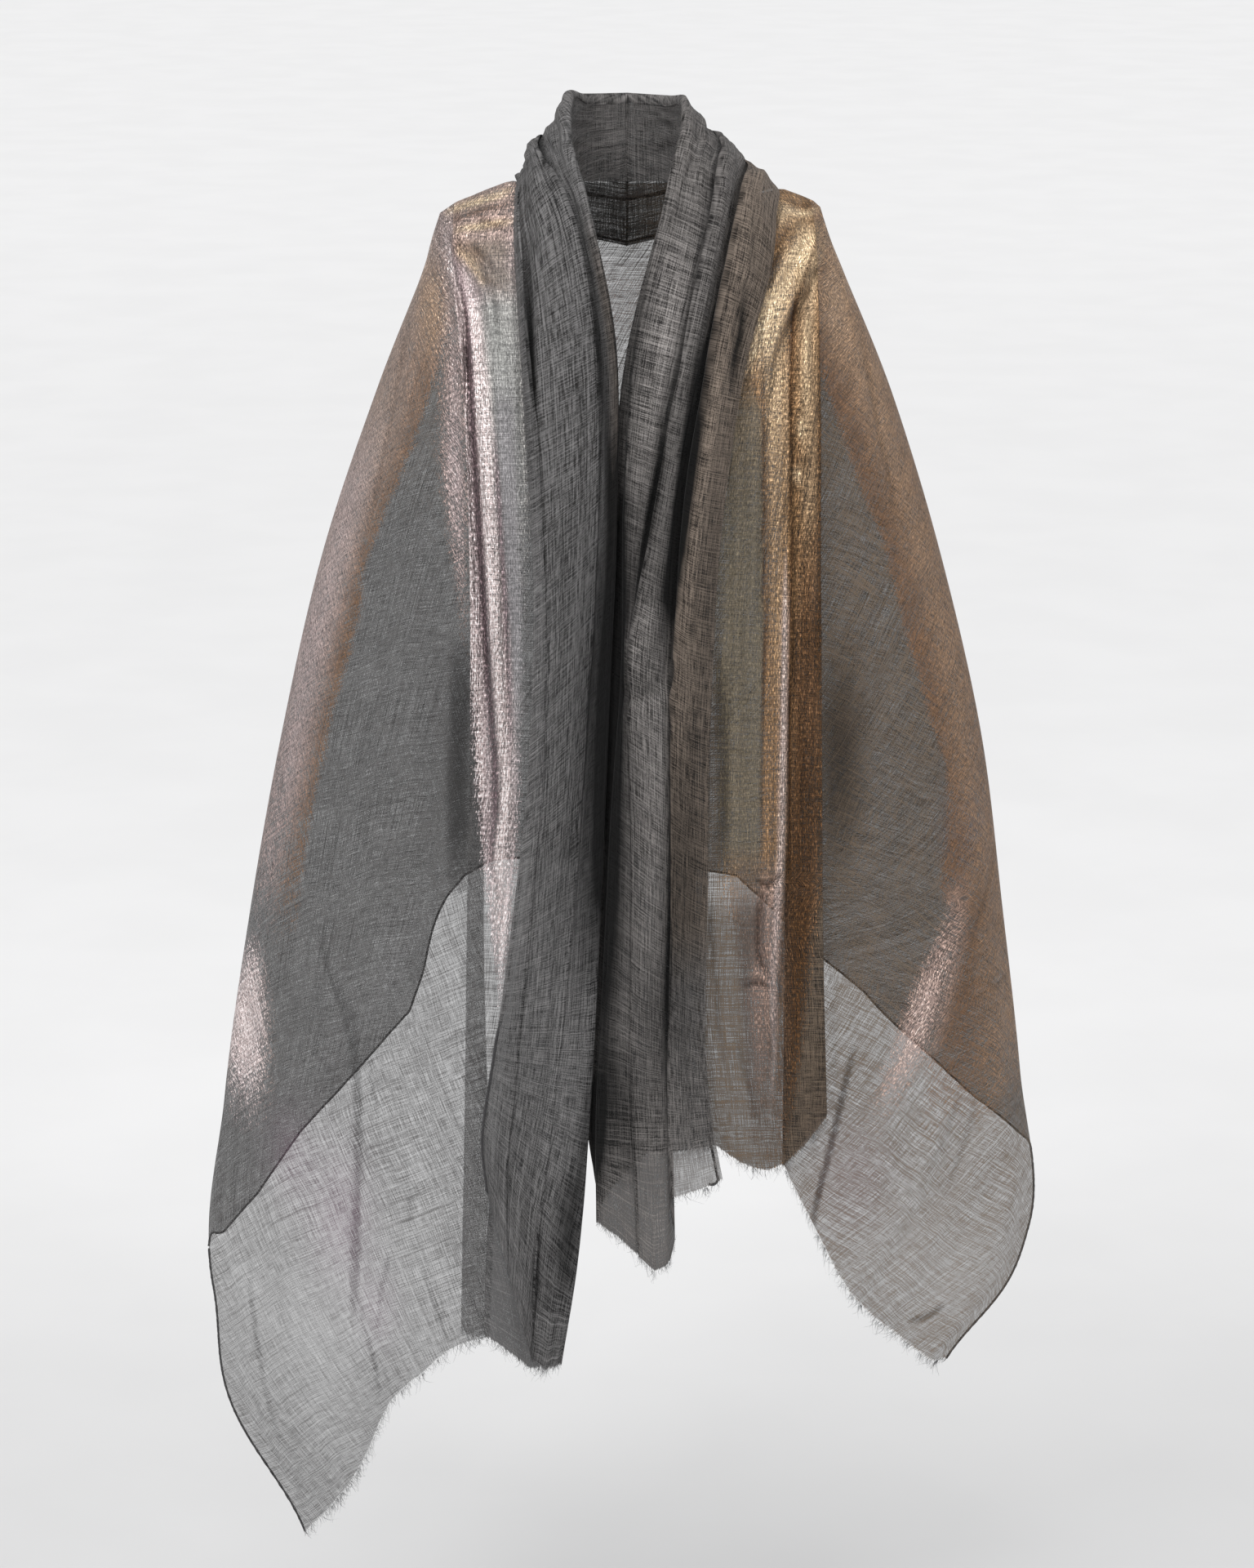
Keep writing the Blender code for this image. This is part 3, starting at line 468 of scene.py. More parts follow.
# Mauve: painted shade along the creases of the left front.
MAUVE_CREASE_SHADE = (0.17, 0.12, 0.13)
GOLD_HIGHLIGHT = (0.74, 0.56, 0.36)
GOLD = (0.24, 0.138, 0.066)
OLIVE = (0.155, 0.130, 0.090)
COPPER = (0.17, 0.092, 0.048)
SAND = (0.46, 0.31, 0.20)
BLUSH = (0.47, 0.37, 0.32)
# Brown: the foil's own colour in broad patches, and painted shade in thin lines along creases and fold
# edges.
BROWN_FOIL_AND_SHADE = (0.085, 0.042, 0.018)
DULL = (SILVER, LILAC, OLIVE, DUSK)  # foil worn so thin that it no longer shines
# On the fronts, the pale bands are painted highlights, and the thin dark lines along the creases and the
# fold edge are painted shade.
LEFT_FRONT_FOIL = (
    (ROSE, 0.40, (
        (0, -150, 46, 0.95), (-60, -148, 44, 1.0), (-115, -142, 44, 1.0), (-200, -138, 42, 1.0),
        (-320, -135, 34, 1.0), (-450, -132, 27, 1.0), (-570, -130, 22, 1.0), (-666, -128, 17, 1.0),
        (-745, -128, 10, 0.9), (-790, -126, 7, 0.5), (-840, -125, 6, 0.0),
    )),
    (SILVER, 0.6, (
        (-60, -116, 14, 0.0), (-100, -122, 24, 0.9), (-150, -120, 25, 0.95), (-220, -116, 22, 0.95),
        (-330, -109, 18, 0.9), (-450, -104, 14, 0.8), (-560, -104, 12, 0.0),
    )),
    (LILAC, 0.7, (
        (-120, -122, 10, 0.0), (-200, -120, 10, 0.8), (-330, -115, 11, 0.9), (-450, -109, 11, 0.9),
        (-560, -108, 10, 0.6), (-640, -112, 8, 0.0),
    )),
    (GOLD, 0.6, (
        (0, -150, 60, 0.55), (-24, -150, 50, 0.5), (-45, -146, 34, 0.35), (-60, -142, 22, 0.0),
    )),
    (OLIVE, 0.7, ((-30, -136, 24, 0.0), (-46, -136, 24, 0.7), (-75, -130, 20, 0.7), (-100, -126, 16, 0.0))),
    (ROSE_HIGHLIGHT, 0.8, (
        (-90, -152, 5, 0.0), (-112, -150, 6, 0.7), (-171, -145, 8, 0.8), (-244, -140, 8, 0.9),
        (-326, -135, 8, 1.0), (-409, -130, 9, 1.0), (-485, -126, 9, 0.9), (-561, -123, 9, 0.9),
        (-622, -125, 8, 0.9), (-682, -129, 8, 0.7), (-745, -128, 7, 0.5), (-800, -126, 6, 0.0),
    )),
    (ROSE_HIGHLIGHT, 0.9, (
        (-90, -166, 3, 0.0), (-147, -164, 5, 0.8), (-228, -162, 5, 0.7), (-310, -159, 5, 0.5),
        (-393, -155, 4, 0.5), (-477, -151, 4, 0.6), (-570, -147, 4, 0.5), (-620, -144, 3, 0.0),
    )),
    (MAUVE_CREASE_SHADE, 0.7, (
        (-50, -166, 3, 0.0), (-115, -159, 3, 1.0), (-171, -154, 3.2, 1.0), (-244, -150, 3.4, 1.0),
        (-343, -145, 3.6, 1.0), (-435, -140, 4, 1.0), (-494, -137, 4, 1.0), (-553, -133, 4, 1.0),
        (-604, -133, 4, 1.0), (-644, -137, 3, 0.8), (-690, -138, 3, 0.0),
    )),
    (MAUVE_CREASE_SHADE, 0.8, (
        (-200, -131, 1.5, 0.0), (-260, -128, 2.2, 0.9), (-340, -124, 2.6, 0.9), (-393, -121, 2.8, 0.9),
        (-468, -118, 3, 0.8), (-527, -117, 2.6, 0.7), (-580, -118, 2, 0.0),
    )),
)
RIGHT_FRONT_FOIL = (
    (GOLD, 0.30, (
        (0, 164, 56, 0.95), (-60, 152, 56, 1.0), (-120, 147, 54, 0.98), (-200, 144, 54, 0.95),
        (-320, 143, 56, 0.9), (-450, 145, 56, 0.9), (-610, 147, 54, 0.9), (-690, 148, 50, 0.9),
        (-740, 150, 40, 0.85), (-790, 150, 36, 0.8), (-860, 150, 30, 0.75), (-930, 148, 24, 0.6),
        (-1000, 146, 16, 0.3),
    )),
    (OLIVE, 0.10, (
        (-150, 96, 20, 0.0), (-200, 104, 28, 0.8), (-300, 108, 27, 0.95), (-440, 110, 27, 0.95),
        (-640, 110, 26, 0.9), (-690, 108, 24, 0.0),
    )),
    (GOLD_HIGHLIGHT, 0.9, (
        (-70, 148, 9, 0.0), (-98, 142, 11, 0.7), (-179, 146, 11, 0.45), (-277, 148, 9, 0.25),
        (-359, 148, 8, 0.15), (-443, 150, 6, 0.1), (-520, 150, 6, 0.0),
    )),
    (COPPER, 0.7, (
        (-200, 184, 10, 0.0), (-300, 184, 12, 0.3), (-380, 184, 14, 0.7), (-470, 182, 16, 1.0),
        (-560, 182, 16, 1.0), (-680, 182, 16, 1.0), (-760, 180, 16, 0.8), (-900, 176, 16, 0.4),
    )),
    (BROWN_FOIL_AND_SHADE, 0.5, (
        (-370, 186, 8, 0.0), (-420, 182, 13, 0.8), (-500, 178, 13, 0.6), (-560, 180, 14, 0.8),
        (-640, 178, 15, 0.9), (-760, 172, 14, 1.0), (-860, 168, 14, 1.0), (-960, 160, 14, 0.8),
    )),
    (GOLD_HIGHLIGHT, 0.9, (
        (-16, 172, 8, 0.0), (-50, 178, 9, 0.6), (-115, 177, 8, 0.35), (-195, 179, 8, 0.3),
        (-290, 180, 7, 0.25), (-360, 180, 5, 0.0),
    )),
    (BROWN_FOIL_AND_SHADE, 0.6, (
        (-60, 176, 1.5, 0.0), (-86, 162, 1.6, 0.9), (-179, 161, 1.5, 1.0), (-277, 162, 1.4, 1.0),
        (-359, 163, 1.5, 1.0), (-443, 164, 1.6, 1.0), (-527, 163, 1.8, 1.0), (-613, 163, 1.8, 1.0),
        (-699, 162, 1.8, 1.0), (-787, 156, 2.2, 1.0), (-875, 146, 2.2, 0.9), (-930, 144, 2, 0.0),
    )),
    (BROWN_FOIL_AND_SHADE, 0.6, (
        (-120, 132, 1.2, 0.0), (-200, 134, 1.3, 0.8), (-320, 135, 1.4, 0.9), (-450, 137, 1.4, 0.9),
        (-600, 137, 1.4, 0.8), (-680, 136, 1.4, 0.0),
    )),
    (BROWN_FOIL_AND_SHADE, 0.8, (
        (-40, 190, 2, 0.0), (-120, 190, 2.4, 0.8), (-250, 191, 2.4, 0.8), (-420, 193, 2.4, 0.9),
        (-640, 196, 2.4, 0.9), (-760, 198, 2.4, 0.6), (-860, 200, 2, 0.0),
    )),
    (DUSK, 0.6, (
        (-640, 128, 22, 0.0), (-700, 130, 26, 0.9), (-780, 126, 30, 1.0), (-860, 128, 30, 1.0),
        (-960, 134, 24, 0.9), (-1000, 136, 16, 0.6),
    )),
    (ROSE_TAN, 0.8, (
        (-660, 144, 9, 0.0), (-700, 144, 11, 0.9), (-760, 143, 12, 0.9), (-800, 138, 12, 0.7),
        (-860, 138, 8, 0.4), (-920, 138, 7, 0.0),
    )),
    (ROSE_HIGHLIGHT, 0.9, (
        (-330, 157, 1.5, 0.0), (-400, 157, 2.5, 0.5), (-520, 157, 3, 0.55), (-640, 156, 3, 0.45),
        (-700, 153, 3.5, 0.35), (-780, 149, 3.5, 0.3), (-860, 151, 2, 0.2), (-960, 146, 2, 0.0),
    )),
)
LEFT_BESIDE_FOIL = (
    (-20, -184, 20, 0.6), (-69, -178, 14, 0.85), (-161, -172, 14, 0.9), (-235, -171, 15, 0.85),
    (-273, -170, 14, 0.85), (-329, -168, 11, 0.75), (-377, -165, 8, 0.6), (-415, -163, 6, 0.4),
    (-480, -162, 5, 0.0),
)
# Where the foil over each arm shines most: more foil and more lustre there, and a pale or warm rose painted
# highlight in its colour.
LEFT_WING_SHINE = (
    (-740, -388, 10, 0.0), (-805, -394, 17, 0.65), (-856, -399, 22, 1.0), (-901, -402, 25, 0.9),
    (-938, -403, 26, 0.5), (-1010, -400, 24, 0.0),
)
RIGHT_WING_SHINE = (
    (-690, 345, 8, 0.0), (-731, 338, 12, 0.4), (-774, 326, 16, 0.75), (-814, 313, 19, 0.95),
    (-850, 302, 21, 1.0), (-881, 292, 22, 0.9), (-907, 280, 22, 0.7), (-950, 262, 20, 0.3),
    (-990, 250, 18, 0.0),
)
LEFT_WING_FOIL = (
    (COPPER, 0.22, (
        (0, -190, 60, 0.95), (-60, -192, 42, 0.95), (-100, -200, 36, 0.95), (-139, -212, 33, 0.95),
        (-190, -228, 33, 0.92), (-247, -250, 36, 0.88), (-318, -276, 32, 0.82), (-376, -298, 32, 0.80),
        (-410, -303, 36, 0.80), (-458, -316, 36, 0.78), (-517, -331, 34, 0.75), (-606, -350, 32, 0.70),
        (-671, -361, 31, 0.62), (-720, -366, 30, 0.45), (-770, -372, 30, 0.2), (-820, -380, 28, 0.0),
    )),
    (BLUSH, 1.0, (
        (0, -196, 40, 0.8), (-100, -208, 28, 0.85), (-190, -234, 24, 0.75), (-295, -274, 22, 0.6),
        (-376, -303, 20, 0.5), (-517, -338, 18, 0.3), (-640, -366, 16, 0.0),
    )),
    (ROSE, 0.9, (
        (-200, -250, 14, 0.0), (-290, -278, 17, 0.5), (-458, -324, 20, 0.7), (-606, -356, 20, 0.65),
        (-720, -380, 16, 0.6), (-785, -396, 20, 1.0), (-1010, -410, 24, 1.0),
    )),
    (ROSE_HIGHLIGHT, 1.0, LEFT_WING_SHINE),
)
RIGHT_WING_FOIL = (
    (COPPER, 0.22, (
        (0, 196, 60, 0.95), (-60, 200, 42, 0.95), (-130, 216, 36, 0.95), (-190, 232, 34, 0.92),
        (-242, 252, 35, 0.9), (-290, 269, 35, 0.88), (-335, 286, 32, 0.86), (-391, 304, 35, 0.85),
        (-439, 316, 35, 0.84), (-488, 330, 33, 0.82), (-537, 341, 31, 0.8), (-576, 353, 28, 0.78),
        (-621, 358, 30, 0.76), (-706, 362, 39, 0.74), (-737, 370, 40, 0.74), (-770, 374, 42, 0.74),
        (-825, 376, 54, 0.74), (-880, 374, 62, 0.7), (-930, 368, 62, 0.5), (-990, 354, 56, 0.15),
        (-1040, 340, 50, 0.0),
    )),
    (SAND, 1.0, (
        (0, 200, 40, 0.6), (-100, 212, 26, 0.6), (-190, 246, 20, 0.55), (-290, 280, 18, 0.45),
        (-391, 312, 18, 0.4), (-488, 338, 18, 0.35), (-656, 368, 18, 0.3), (-740, 384, 20, 0.3),
        (-850, 396, 24, 0.4), (-925, 400, 24, 0.3), (-990, 400, 20, 0.0),
    )),
    (BROWN_FOIL_AND_SHADE, 0.9, (
        (-640, 372, 16, 0.0), (-720, 374, 24, 0.2), (-801, 366, 28, 0.2), (-874, 362, 28, 0.1),
        (-940, 350, 24, 0.0),
    )),
    (WARM_ROSE_HIGHLIGHT, 1.0, RIGHT_WING_SHINE),
)
FOIL_ROUND_ARM = 80 * MM  # how far the foil over an arm goes on behind it
BACK_FOIL = (  # a band across the shoulder blades: x and the z of its middle, half height
    (-187, -40, 50, 0.8), (-130, -60, 56, 0.8), (-70, -110, 50, 0.6), (0, -130, 42, 0.45),
    (70, -112, 50, 0.6), (130, -62, 56, 0.8), (190, -40, 50, 0.8),
)

# Spots of brighter or darker foil, the pale gold ones painted highlights: colour, x, z, half sizes,
# strength.
LEFT_FOIL_SPOTS = (
    (GOLD, -190, -110, 18, 60, 0.6), (COPPER, -205, -180, 34, 70, 0.5), (SAND, -194, -106, 14, 40, 0.6),
)
RIGHT_FOIL_SPOTS = (
    (GOLD_HIGHLIGHT, 150, -16, 18, 10, 0.6), (COPPER, 178, -92, 7, 24, 0.6), (BROWN_FOIL_AND_SHADE, 176, -250, 5, 8, 0.5),
    (BROWN_FOIL_AND_SHADE, 184, -330, 6, 14, 0.5), (GOLD_HIGHLIGHT, 172, -216, 4, 9, 0.7), (GOLD_HIGHLIGHT, 168, -262, 4, 8, 0.6),
    (SAND, 208, -100, 12, 40, 0.7), (GOLD_HIGHLIGHT, 168, -60, 14, 18, 0.5),
)
# Strokes along the creases that fan out from the shoulders: painted highlights (pale gold, pale rose) on
# their ridges, painted shade (brown, mauve) in their troughs, and a few patches of the foil's own gold and
# silver.
#   colour  amount  half_width_mm  route
LEFT_FOIL_AND_PAINTED_LIGHT_STROKES = (
    (GOLD_HIGHLIGHT, 0.9, 3, ((-184, -23), (-172, -15), (-161, -11), (-138, -4), (-110, 6))),
    (BROWN_FOIL_AND_SHADE, 0.8, 2.4, ((-181, -28), (-166, -21), (-152, -16), (-132, -11), (-111, -8))),
    (GOLD_HIGHLIGHT, 0.8, 3, ((-173, -33), (-160, -29), (-149, -28), (-130, -25), (-110, -22))),
    (BROWN_FOIL_AND_SHADE, 0.5, 2.4, ((-154, -17), (-142, -21), (-132, -26), (-110, -32))),
    (GOLD, 0.5, 11, ((-176, -40), (-164, -48), (-152, -54), (-138, -58))),
    (GOLD_HIGHLIGHT, 0.6, 4, ((-170, -46), (-158, -54), (-148, -66), (-138, -80))),
    (BROWN_FOIL_AND_SHADE, 0.45, 2.4, ((-171, -37), (-160, -52), (-150, -66), (-132, -78), (-110, -88))),
    (ROSE_HIGHLIGHT, 0.95, 4, ((-182, -32), (-175, -54), (-169, -74), (-162, -108), (-160, -140))),
    (MAUVE_CREASE_SHADE, 0.9, 3, ((-178, -26), (-171, -54), (-164, -80), (-157, -112), (-153, -160), (-153, -240))),
    (SILVER, 0.8, 9, ((-140, -90), (-130, -112), (-122, -150), (-116, -190))),
)
RIGHT_FOIL_AND_PAINTED_LIGHT_STROKES = (
    (GOLD_HIGHLIGHT, 0.9, 11, ((190, -24), (174, -48), (156, -78), (140, -106), (124, -140), (108, -170))),
    (BROWN_FOIL_AND_SHADE, 0.95, 3, (
        (197, -13), (188, -36), (179, -59), (171, -82), (165, -98), (162, -140), (161, -186), (161, -230),
    )),
    (GOLD_HIGHLIGHT, 0.4, 4, ((198, -40), (189, -62), (182, -86), (178, -120), (175, -170), (176, -220))),
    (BROWN_FOIL_AND_SHADE, 0.6, 2.4, ((195, -12), (184, -11), (173, -11), (160, -6), (149, -2))),
    (GOLD_HIGHLIGHT, 0.8, 2.6, ((194, -17), (182, -17), (170, -17), (158, -13), (148, -10))),
    (BROWN_FOIL_AND_SHADE, 0.3, 2.4, ((192, -17), (180, -26), (170, -36), (160, -52), (152, -70))),
    (GOLD_HIGHLIGHT, 0.7, 8, ((182, -26), (172, -44), (160, -62), (148, -82))),
    (BROWN_FOIL_AND_SHADE, 0.6, 5, ((176, -70), (184, -68), (192, -70), (200, -76))),
)

# Where the cloth over an arm lies thicker (+) or thinner (-): x, z, half sizes, plies.
LEFT_THICKER = ((-330, -1200, 110, 130, -0.16), (-185, -560, 30, 110, 0.35))
# The first right spot, beside the fold, is painted shade: plies added there to darken the cloth.
RIGHT_THICKER_AND_SHADED = ((218, -560, 20, 90, 2.2), (245, -900, 50, 80, 0.2), (320, -1130, 90, 80, -0.12))

# How far the under ply's fold reaches past the roll, in millimetres, one number a station.
LEFT_TONGUE = (0,) * 13
RIGHT_TONGUE = (0, 0, 0, 0, 0, 4, 12, 17, 23, 22, 22, 16, 0)
# Stains of plum dye, and spots of painted shade on the cloth over an arm: x, z, half sizes, strength.
LEFT_STAINS = ((-301, -1063, 32, 70, 0.75), (-264, -1161, 22, 42, 0.5), (-352, -1000, 26, 50, 0.45))
RIGHT_STAINS = ((236, -1010, 40, 60, 0.25), (350, -650, 22, 50, 0.3))
LEFT_PAINTED_SHADE_SPOTS = ()
RIGHT_PAINTED_SHADE_SPOTS = ((216, -550, 18, 90, 0.5),)
# The back's hem between the two side lines, x and z in millimetres.
BACK_HEM_LINE = (
    (-444, -1134), (-424, -1116), (-402, -1096), (-356, -1033), (-291, -967), (-237, -906),
    (-222, -864), (-214, -826), (-208, -804), (-196, -779), (-175, -754), (-155, -743),
    (-143, -738), (0, -730), (89, -752), (120, -757), (216, -850), (258, -884),
    (294, -920), (375, -986), (406, -1004), (427, -1016),
)
RIGHT_BACK_HEM = 10.5  # the back's hem ends higher on the right side line

# Colours of the plum dye, of the face and the wrong side (plain, and where they are warmer),
# and of the hems and the loose threads.
PLUM = (0.16, 0.085, 0.13)
FACE_YARN = (0.036, 0.036, 0.037)
FACE_WARM = (0.063, 0.045, 0.030)
WRONG_YARN = (0.067, 0.067, 0.0685)
WRONG_WARM = (0.080, 0.063, 0.050)
DARK_HEM = (0.016, 0.015, 0.016)
LOOSE_YARN = (0.085, 0.086, 0.088)


# ---------------------------------------------------------------------------------- numbers


def smooth(rows, at):
    """A Catmull-Rom curve through equally spaced rows, read at places counted in rows."""
    rows = np.asarray(rows, dtype=float)
    at = np.clip(np.atleast_1d(np.asarray(at, dtype=float)), 0.0, len(rows) - 1.0)
    first = np.minimum(at.astype(int), len(rows) - 2)
    share = (at - first).reshape((-1,) + (1,) * (rows.ndim - 1))
    padded = np.concatenate([2 * rows[:1] - rows[1:2], rows, 2 * rows[-1:] - rows[-2:-1]])
    before, here, ahead, after = (padded[first + i] for i in range(4))
    return 0.5 * (
        here * 2
        + (ahead - before) * share
        + (before * 2 - here * 5 + ahead * 4 - after) * share**2
        + (here * 3 - before - ahead * 3 + after) * share**3
    )


def line(table, name, stations):
    """The points of a named line at the stations, in metres."""
    first = SPINE if name in ROUND_THE_NECK else SHOULDER
    return smooth(table[name], np.asarray(stations) - first) * MM


def ease(value, start, full):
    """0 at the start and 1 where full, with soft ends."""
    share = np.clip((np.asarray(value, dtype=float) - start) / (full - start), 0.0, 1.0)
    return share * share * (3 - 2 * share)


def swell(distance, half_width):
    """A soft crest: 1 in the middle, 0 at the half width and beyond."""
    inside = np.abs(distance) < half_width
    return np.where(inside, 0.5 + 0.5 * np.cos(np.pi * distance / half_width), 0.0)


def unit(vectors):
    return vectors / np.maximum(np.linalg.norm(vectors, axis=-1, keepdims=True), 1e-12)


def lengths(points):
    """Distance run along a row of points, from its start."""
    steps = np.linalg.norm(np.diff(points, axis=0), axis=1)
    return np.concatenate([[0.0], np.cumsum(steps)])


def stations_along(table, name, first, last, step):
    """Stations from first to last whose rows lie a step apart on the named line."""
    fine = np.linspace(first, last, 2000)
    run = lengths(line(table, name, fine))
    count = int(round(run[-1] / step)) + 1
    return np.interp(np.linspace(0, run[-1], count), run, fine)


def ripples(across, along, seed, wave_across, wave_along, count=9):
    """Uneven soft ripples between -1 and 1, longer along the cloth than across it."""
    draw = np.random.default_rng(seed)
    total = np.zeros(np.broadcast(across, along).shape)
    for _ in range(count):
        k_across = 2 * np.pi / (wave_across * draw.uniform(0.6, 1.8))
        k_along = 2 * np.pi / (wave_along * draw.uniform(0.6, 1.8)) * draw.choice((-1, 1))
        total += np.sin(across * k_across + along * k_along + draw.uniform(0, 2 * np.pi))
    return total / count**0.5 / 1.4


def curve_through(points, step):
    """A smooth curve through the points, with a point each step."""
    points = np.asarray(points, dtype=float)
    fine = smooth(points, np.linspace(0, len(points) - 1, 24 * len(points)))
    run = lengths(fine)
    count = max(int(round(run[-1] / step)) + 1, 4)
    places = np.linspace(0, run[-1], count)
    return np.stack([np.interp(places, run, fine[:, i]) for i in range(fine.shape[1])], axis=1)


def creased(flat, creases):
    """Heights in metres and gathered plies of the creases, at the x, z places given in mm."""
    shape = flat.shape[:-1]
    places = flat.reshape(-1, 2)
    height = np.zeros(len(places))
    plies = np.zeros(len(places))
    for high, half_width, gathered, route in creases:
        path = curve_through(route, 5.0)
        reach = 3 * half_width
        near = np.all((places > path.min(0) - reach) & (places < path.max(0) + reach), axis=1)
        index = np.nonzero(near)[0]
        if not len(index):
            continue
        gaps = places[index, None, :] - path[None, :-1, :]
        runs = np.diff(path, axis=0)
        share = np.clip((gaps * runs).sum(-1) / (runs**2).sum(-1), 0, 1)
        far = np.linalg.norm(gaps - share[..., None] * runs, axis=-1)
        best = far.argmin(1)
        distance = far[np.arange(len(index)), best]
        along = (best + share[np.arange(len(index)), best]) / (len(path) - 1)
        fade = np.sin(np.pi * np.clip(along, 0, 1)) ** 0.7
        profile = np.exp(-((distance / half_width) ** 2)) * fade
        height[index] += high * MM * profile
        if gathered:
            core = np.exp(-((distance / (half_width * 0.75)) ** 4)) * np.clip(fade * 1.3, 0, 1)
            plies[index] = np.maximum(plies[index], gathered * core)
    return height.reshape(shape), plies.reshape(shape)


def band(flat, table, softness=0.45):
    """Strength of a foil band at x, z places in mm; the table's rows run down the cloth."""
    rows = np.asarray(table, dtype=float)[::-1]
    z = flat[..., 1]
    middle, half, strength = (np.interp(z, rows[:, 0], rows[:, i]) for i in (1, 2, 3))
    off = np.abs(flat[..., 0] - middle) / half
    return strength * (1 - ease(off, 1 - softness, 1 + softness))


def foiled(flat, bands):
    """Strength, colour and dullness of the foil at x, z places in mm.

    The first band says where the foil is, and the others colour it.
    """
    first_colour, first_softness, first_rows = bands[0]
    strength = band(flat, first_rows, first_softness)
    tint = np.zeros(flat.shape[:-1] + (3,)) + np.array(first_colour)
    dull = np.zeros(flat.shape[:-1])
    for colour, softness, rows in bands[1:]:
        here = band(flat, rows, softness)
        tint += (np.array(colour) - tint) * here[..., None]
        dull += ((colour in DULL) - dull) * here
    return strength, tint, dull


def across_band(flat, table):
    """Strength of a foil band whose rows run across the cloth, at x, z places in mm."""
    rows = np.asarray(table, dtype=float)
    x = flat[..., 0]
    middle, half, strength = (np.interp(x, rows[:, 0], rows[:, i]) for i in (1, 2, 3))
    off = np.abs(flat[..., 1] - middle) / half
    return strength * (1 - ease(off, 0.45, 1.5))


def blob(flat, x, z, half_x, half_z):
    """A soft spot, 1 in the middle."""
    off = ((flat[..., 0] - x) / half_x) ** 2 + ((flat[..., 1] - z) / half_z) ** 2
    return np.exp(-off)


def spots(flat, rows):
    """The sum of soft spots; each row is x, z, half sizes and strength."""
    total = np.zeros(flat.shape[:-1])
    for x, z, half_x, half_z, strength in rows:
        total += blob(flat, x, z, half_x, half_z) * strength
    return total


def grid_normals(points):
    """The way square to the sheet, at each point of its grid."""
    down = np.gradient(points, axis=0)
    across = np.gradient(points, axis=1)
    return unit(np.cross(down, across))


# ------------------------------------------------------------------------------------ cloth


def ridge_height(table, x):
    """Height of the shoulder's ridge, where the front and the back of the cloth meet."""
    marks = [line(table, name, [SHOULDER])[0] for name in ("tuck", "blade", "fold", "side")]
    marks.sort(key=lambda mark: abs(mark[0]))
    places, extra = np.array(LEFT_CROWN if table is LEFT else RIGHT_CROWN).T * MM
    plain = np.interp(np.abs(x), [abs(m[0]) for m in marks], [m[2] for m in marks])
    return plain + np.interp(np.abs(x), places, extra)


def meet_ridge(points, table, stations):
    """Bring the first row onto the shoulder's ridge, and round the cloth over it."""
    first = points[0]
    target = np.stack([first[:, 0], np.zeros(len(first)), ridge_height(table, first[:, 0])], axis=1)
    fade = 1 - ease(stations, SHOULDER, SHOULDER + 0.8)
    points = points + (target - first)[None] * fade[:, None, None]
    y = np.abs(points[..., 1])
    rounded = RIDGE_RADIUS + y - np.sqrt(y**2 + RIDGE_RADIUS**2)
    lift = 0.34 * rounded * np.exp(-((y / RIDGE_REACH) ** 2))
    steep = ease(np.abs(points[..., 0] - first[None, :, 0]), 4 * MM, 16 * MM)
    points[..., 2] += lift * (1 - steep)
    return points


def inward(table, sign, stations):
    """The way from a laid front towards the wearer, square to the cloth, one row a station."""
    above = np.minimum(stations, END - 0.05)
    down = line(table, "fold", above + 0.05) - line(table, "fold", above)
    across = line(table, "fold", stations) - line(table, "tuck", stations)
    return unit(np.cross(down, across) * -sign)


def bezier(start, leave, arrive, end, shares):
    """Points on a cubic curve for each row: (rows, shares, 3)."""
    s = shares[None, :, None]
    start, leave, arrive, end = (p[:, None, :] for p in (start, leave, arrive, end))
    return (
        start * (1 - s) ** 3 + leave * 3 * (1 - s) ** 2 * s + arrive * 3 * (1 - s) * s**2 + end * s**3
    )


def hairpin(edge, into, outward, near, far, count):
    """A round turn of the cloth about an edge, from one depth to another, without its ends."""
    middle = (near + far) / 2
    radius = abs(far - near) / 2
    angles = np.linspace(0, np.pi, count + 2)[1:-1]
    turn = np.sign(far - near)
    rows = []
    for angle in angles:
        depth = middle - turn * radius * np.cos(angle)
        rows.append(edge + into * depth + outward * radius * np.sin(angle))
    return np.stack(rows, axis=1)


def smooth_ends(table, places):
    """How far the cloth ends above where it would, at places from 0 to 1 across a panel."""
    return smooth(table, places * (len(table) - 1)) * MM


# Columns of a side's sheet: the front, the hidden ply, each turn between two plies, the wing.
FRONT_COLUMNS = 38
HIDDEN_COLUMNS = 9
TURN_COLUMNS = 5
WING_COLUMNS = 124


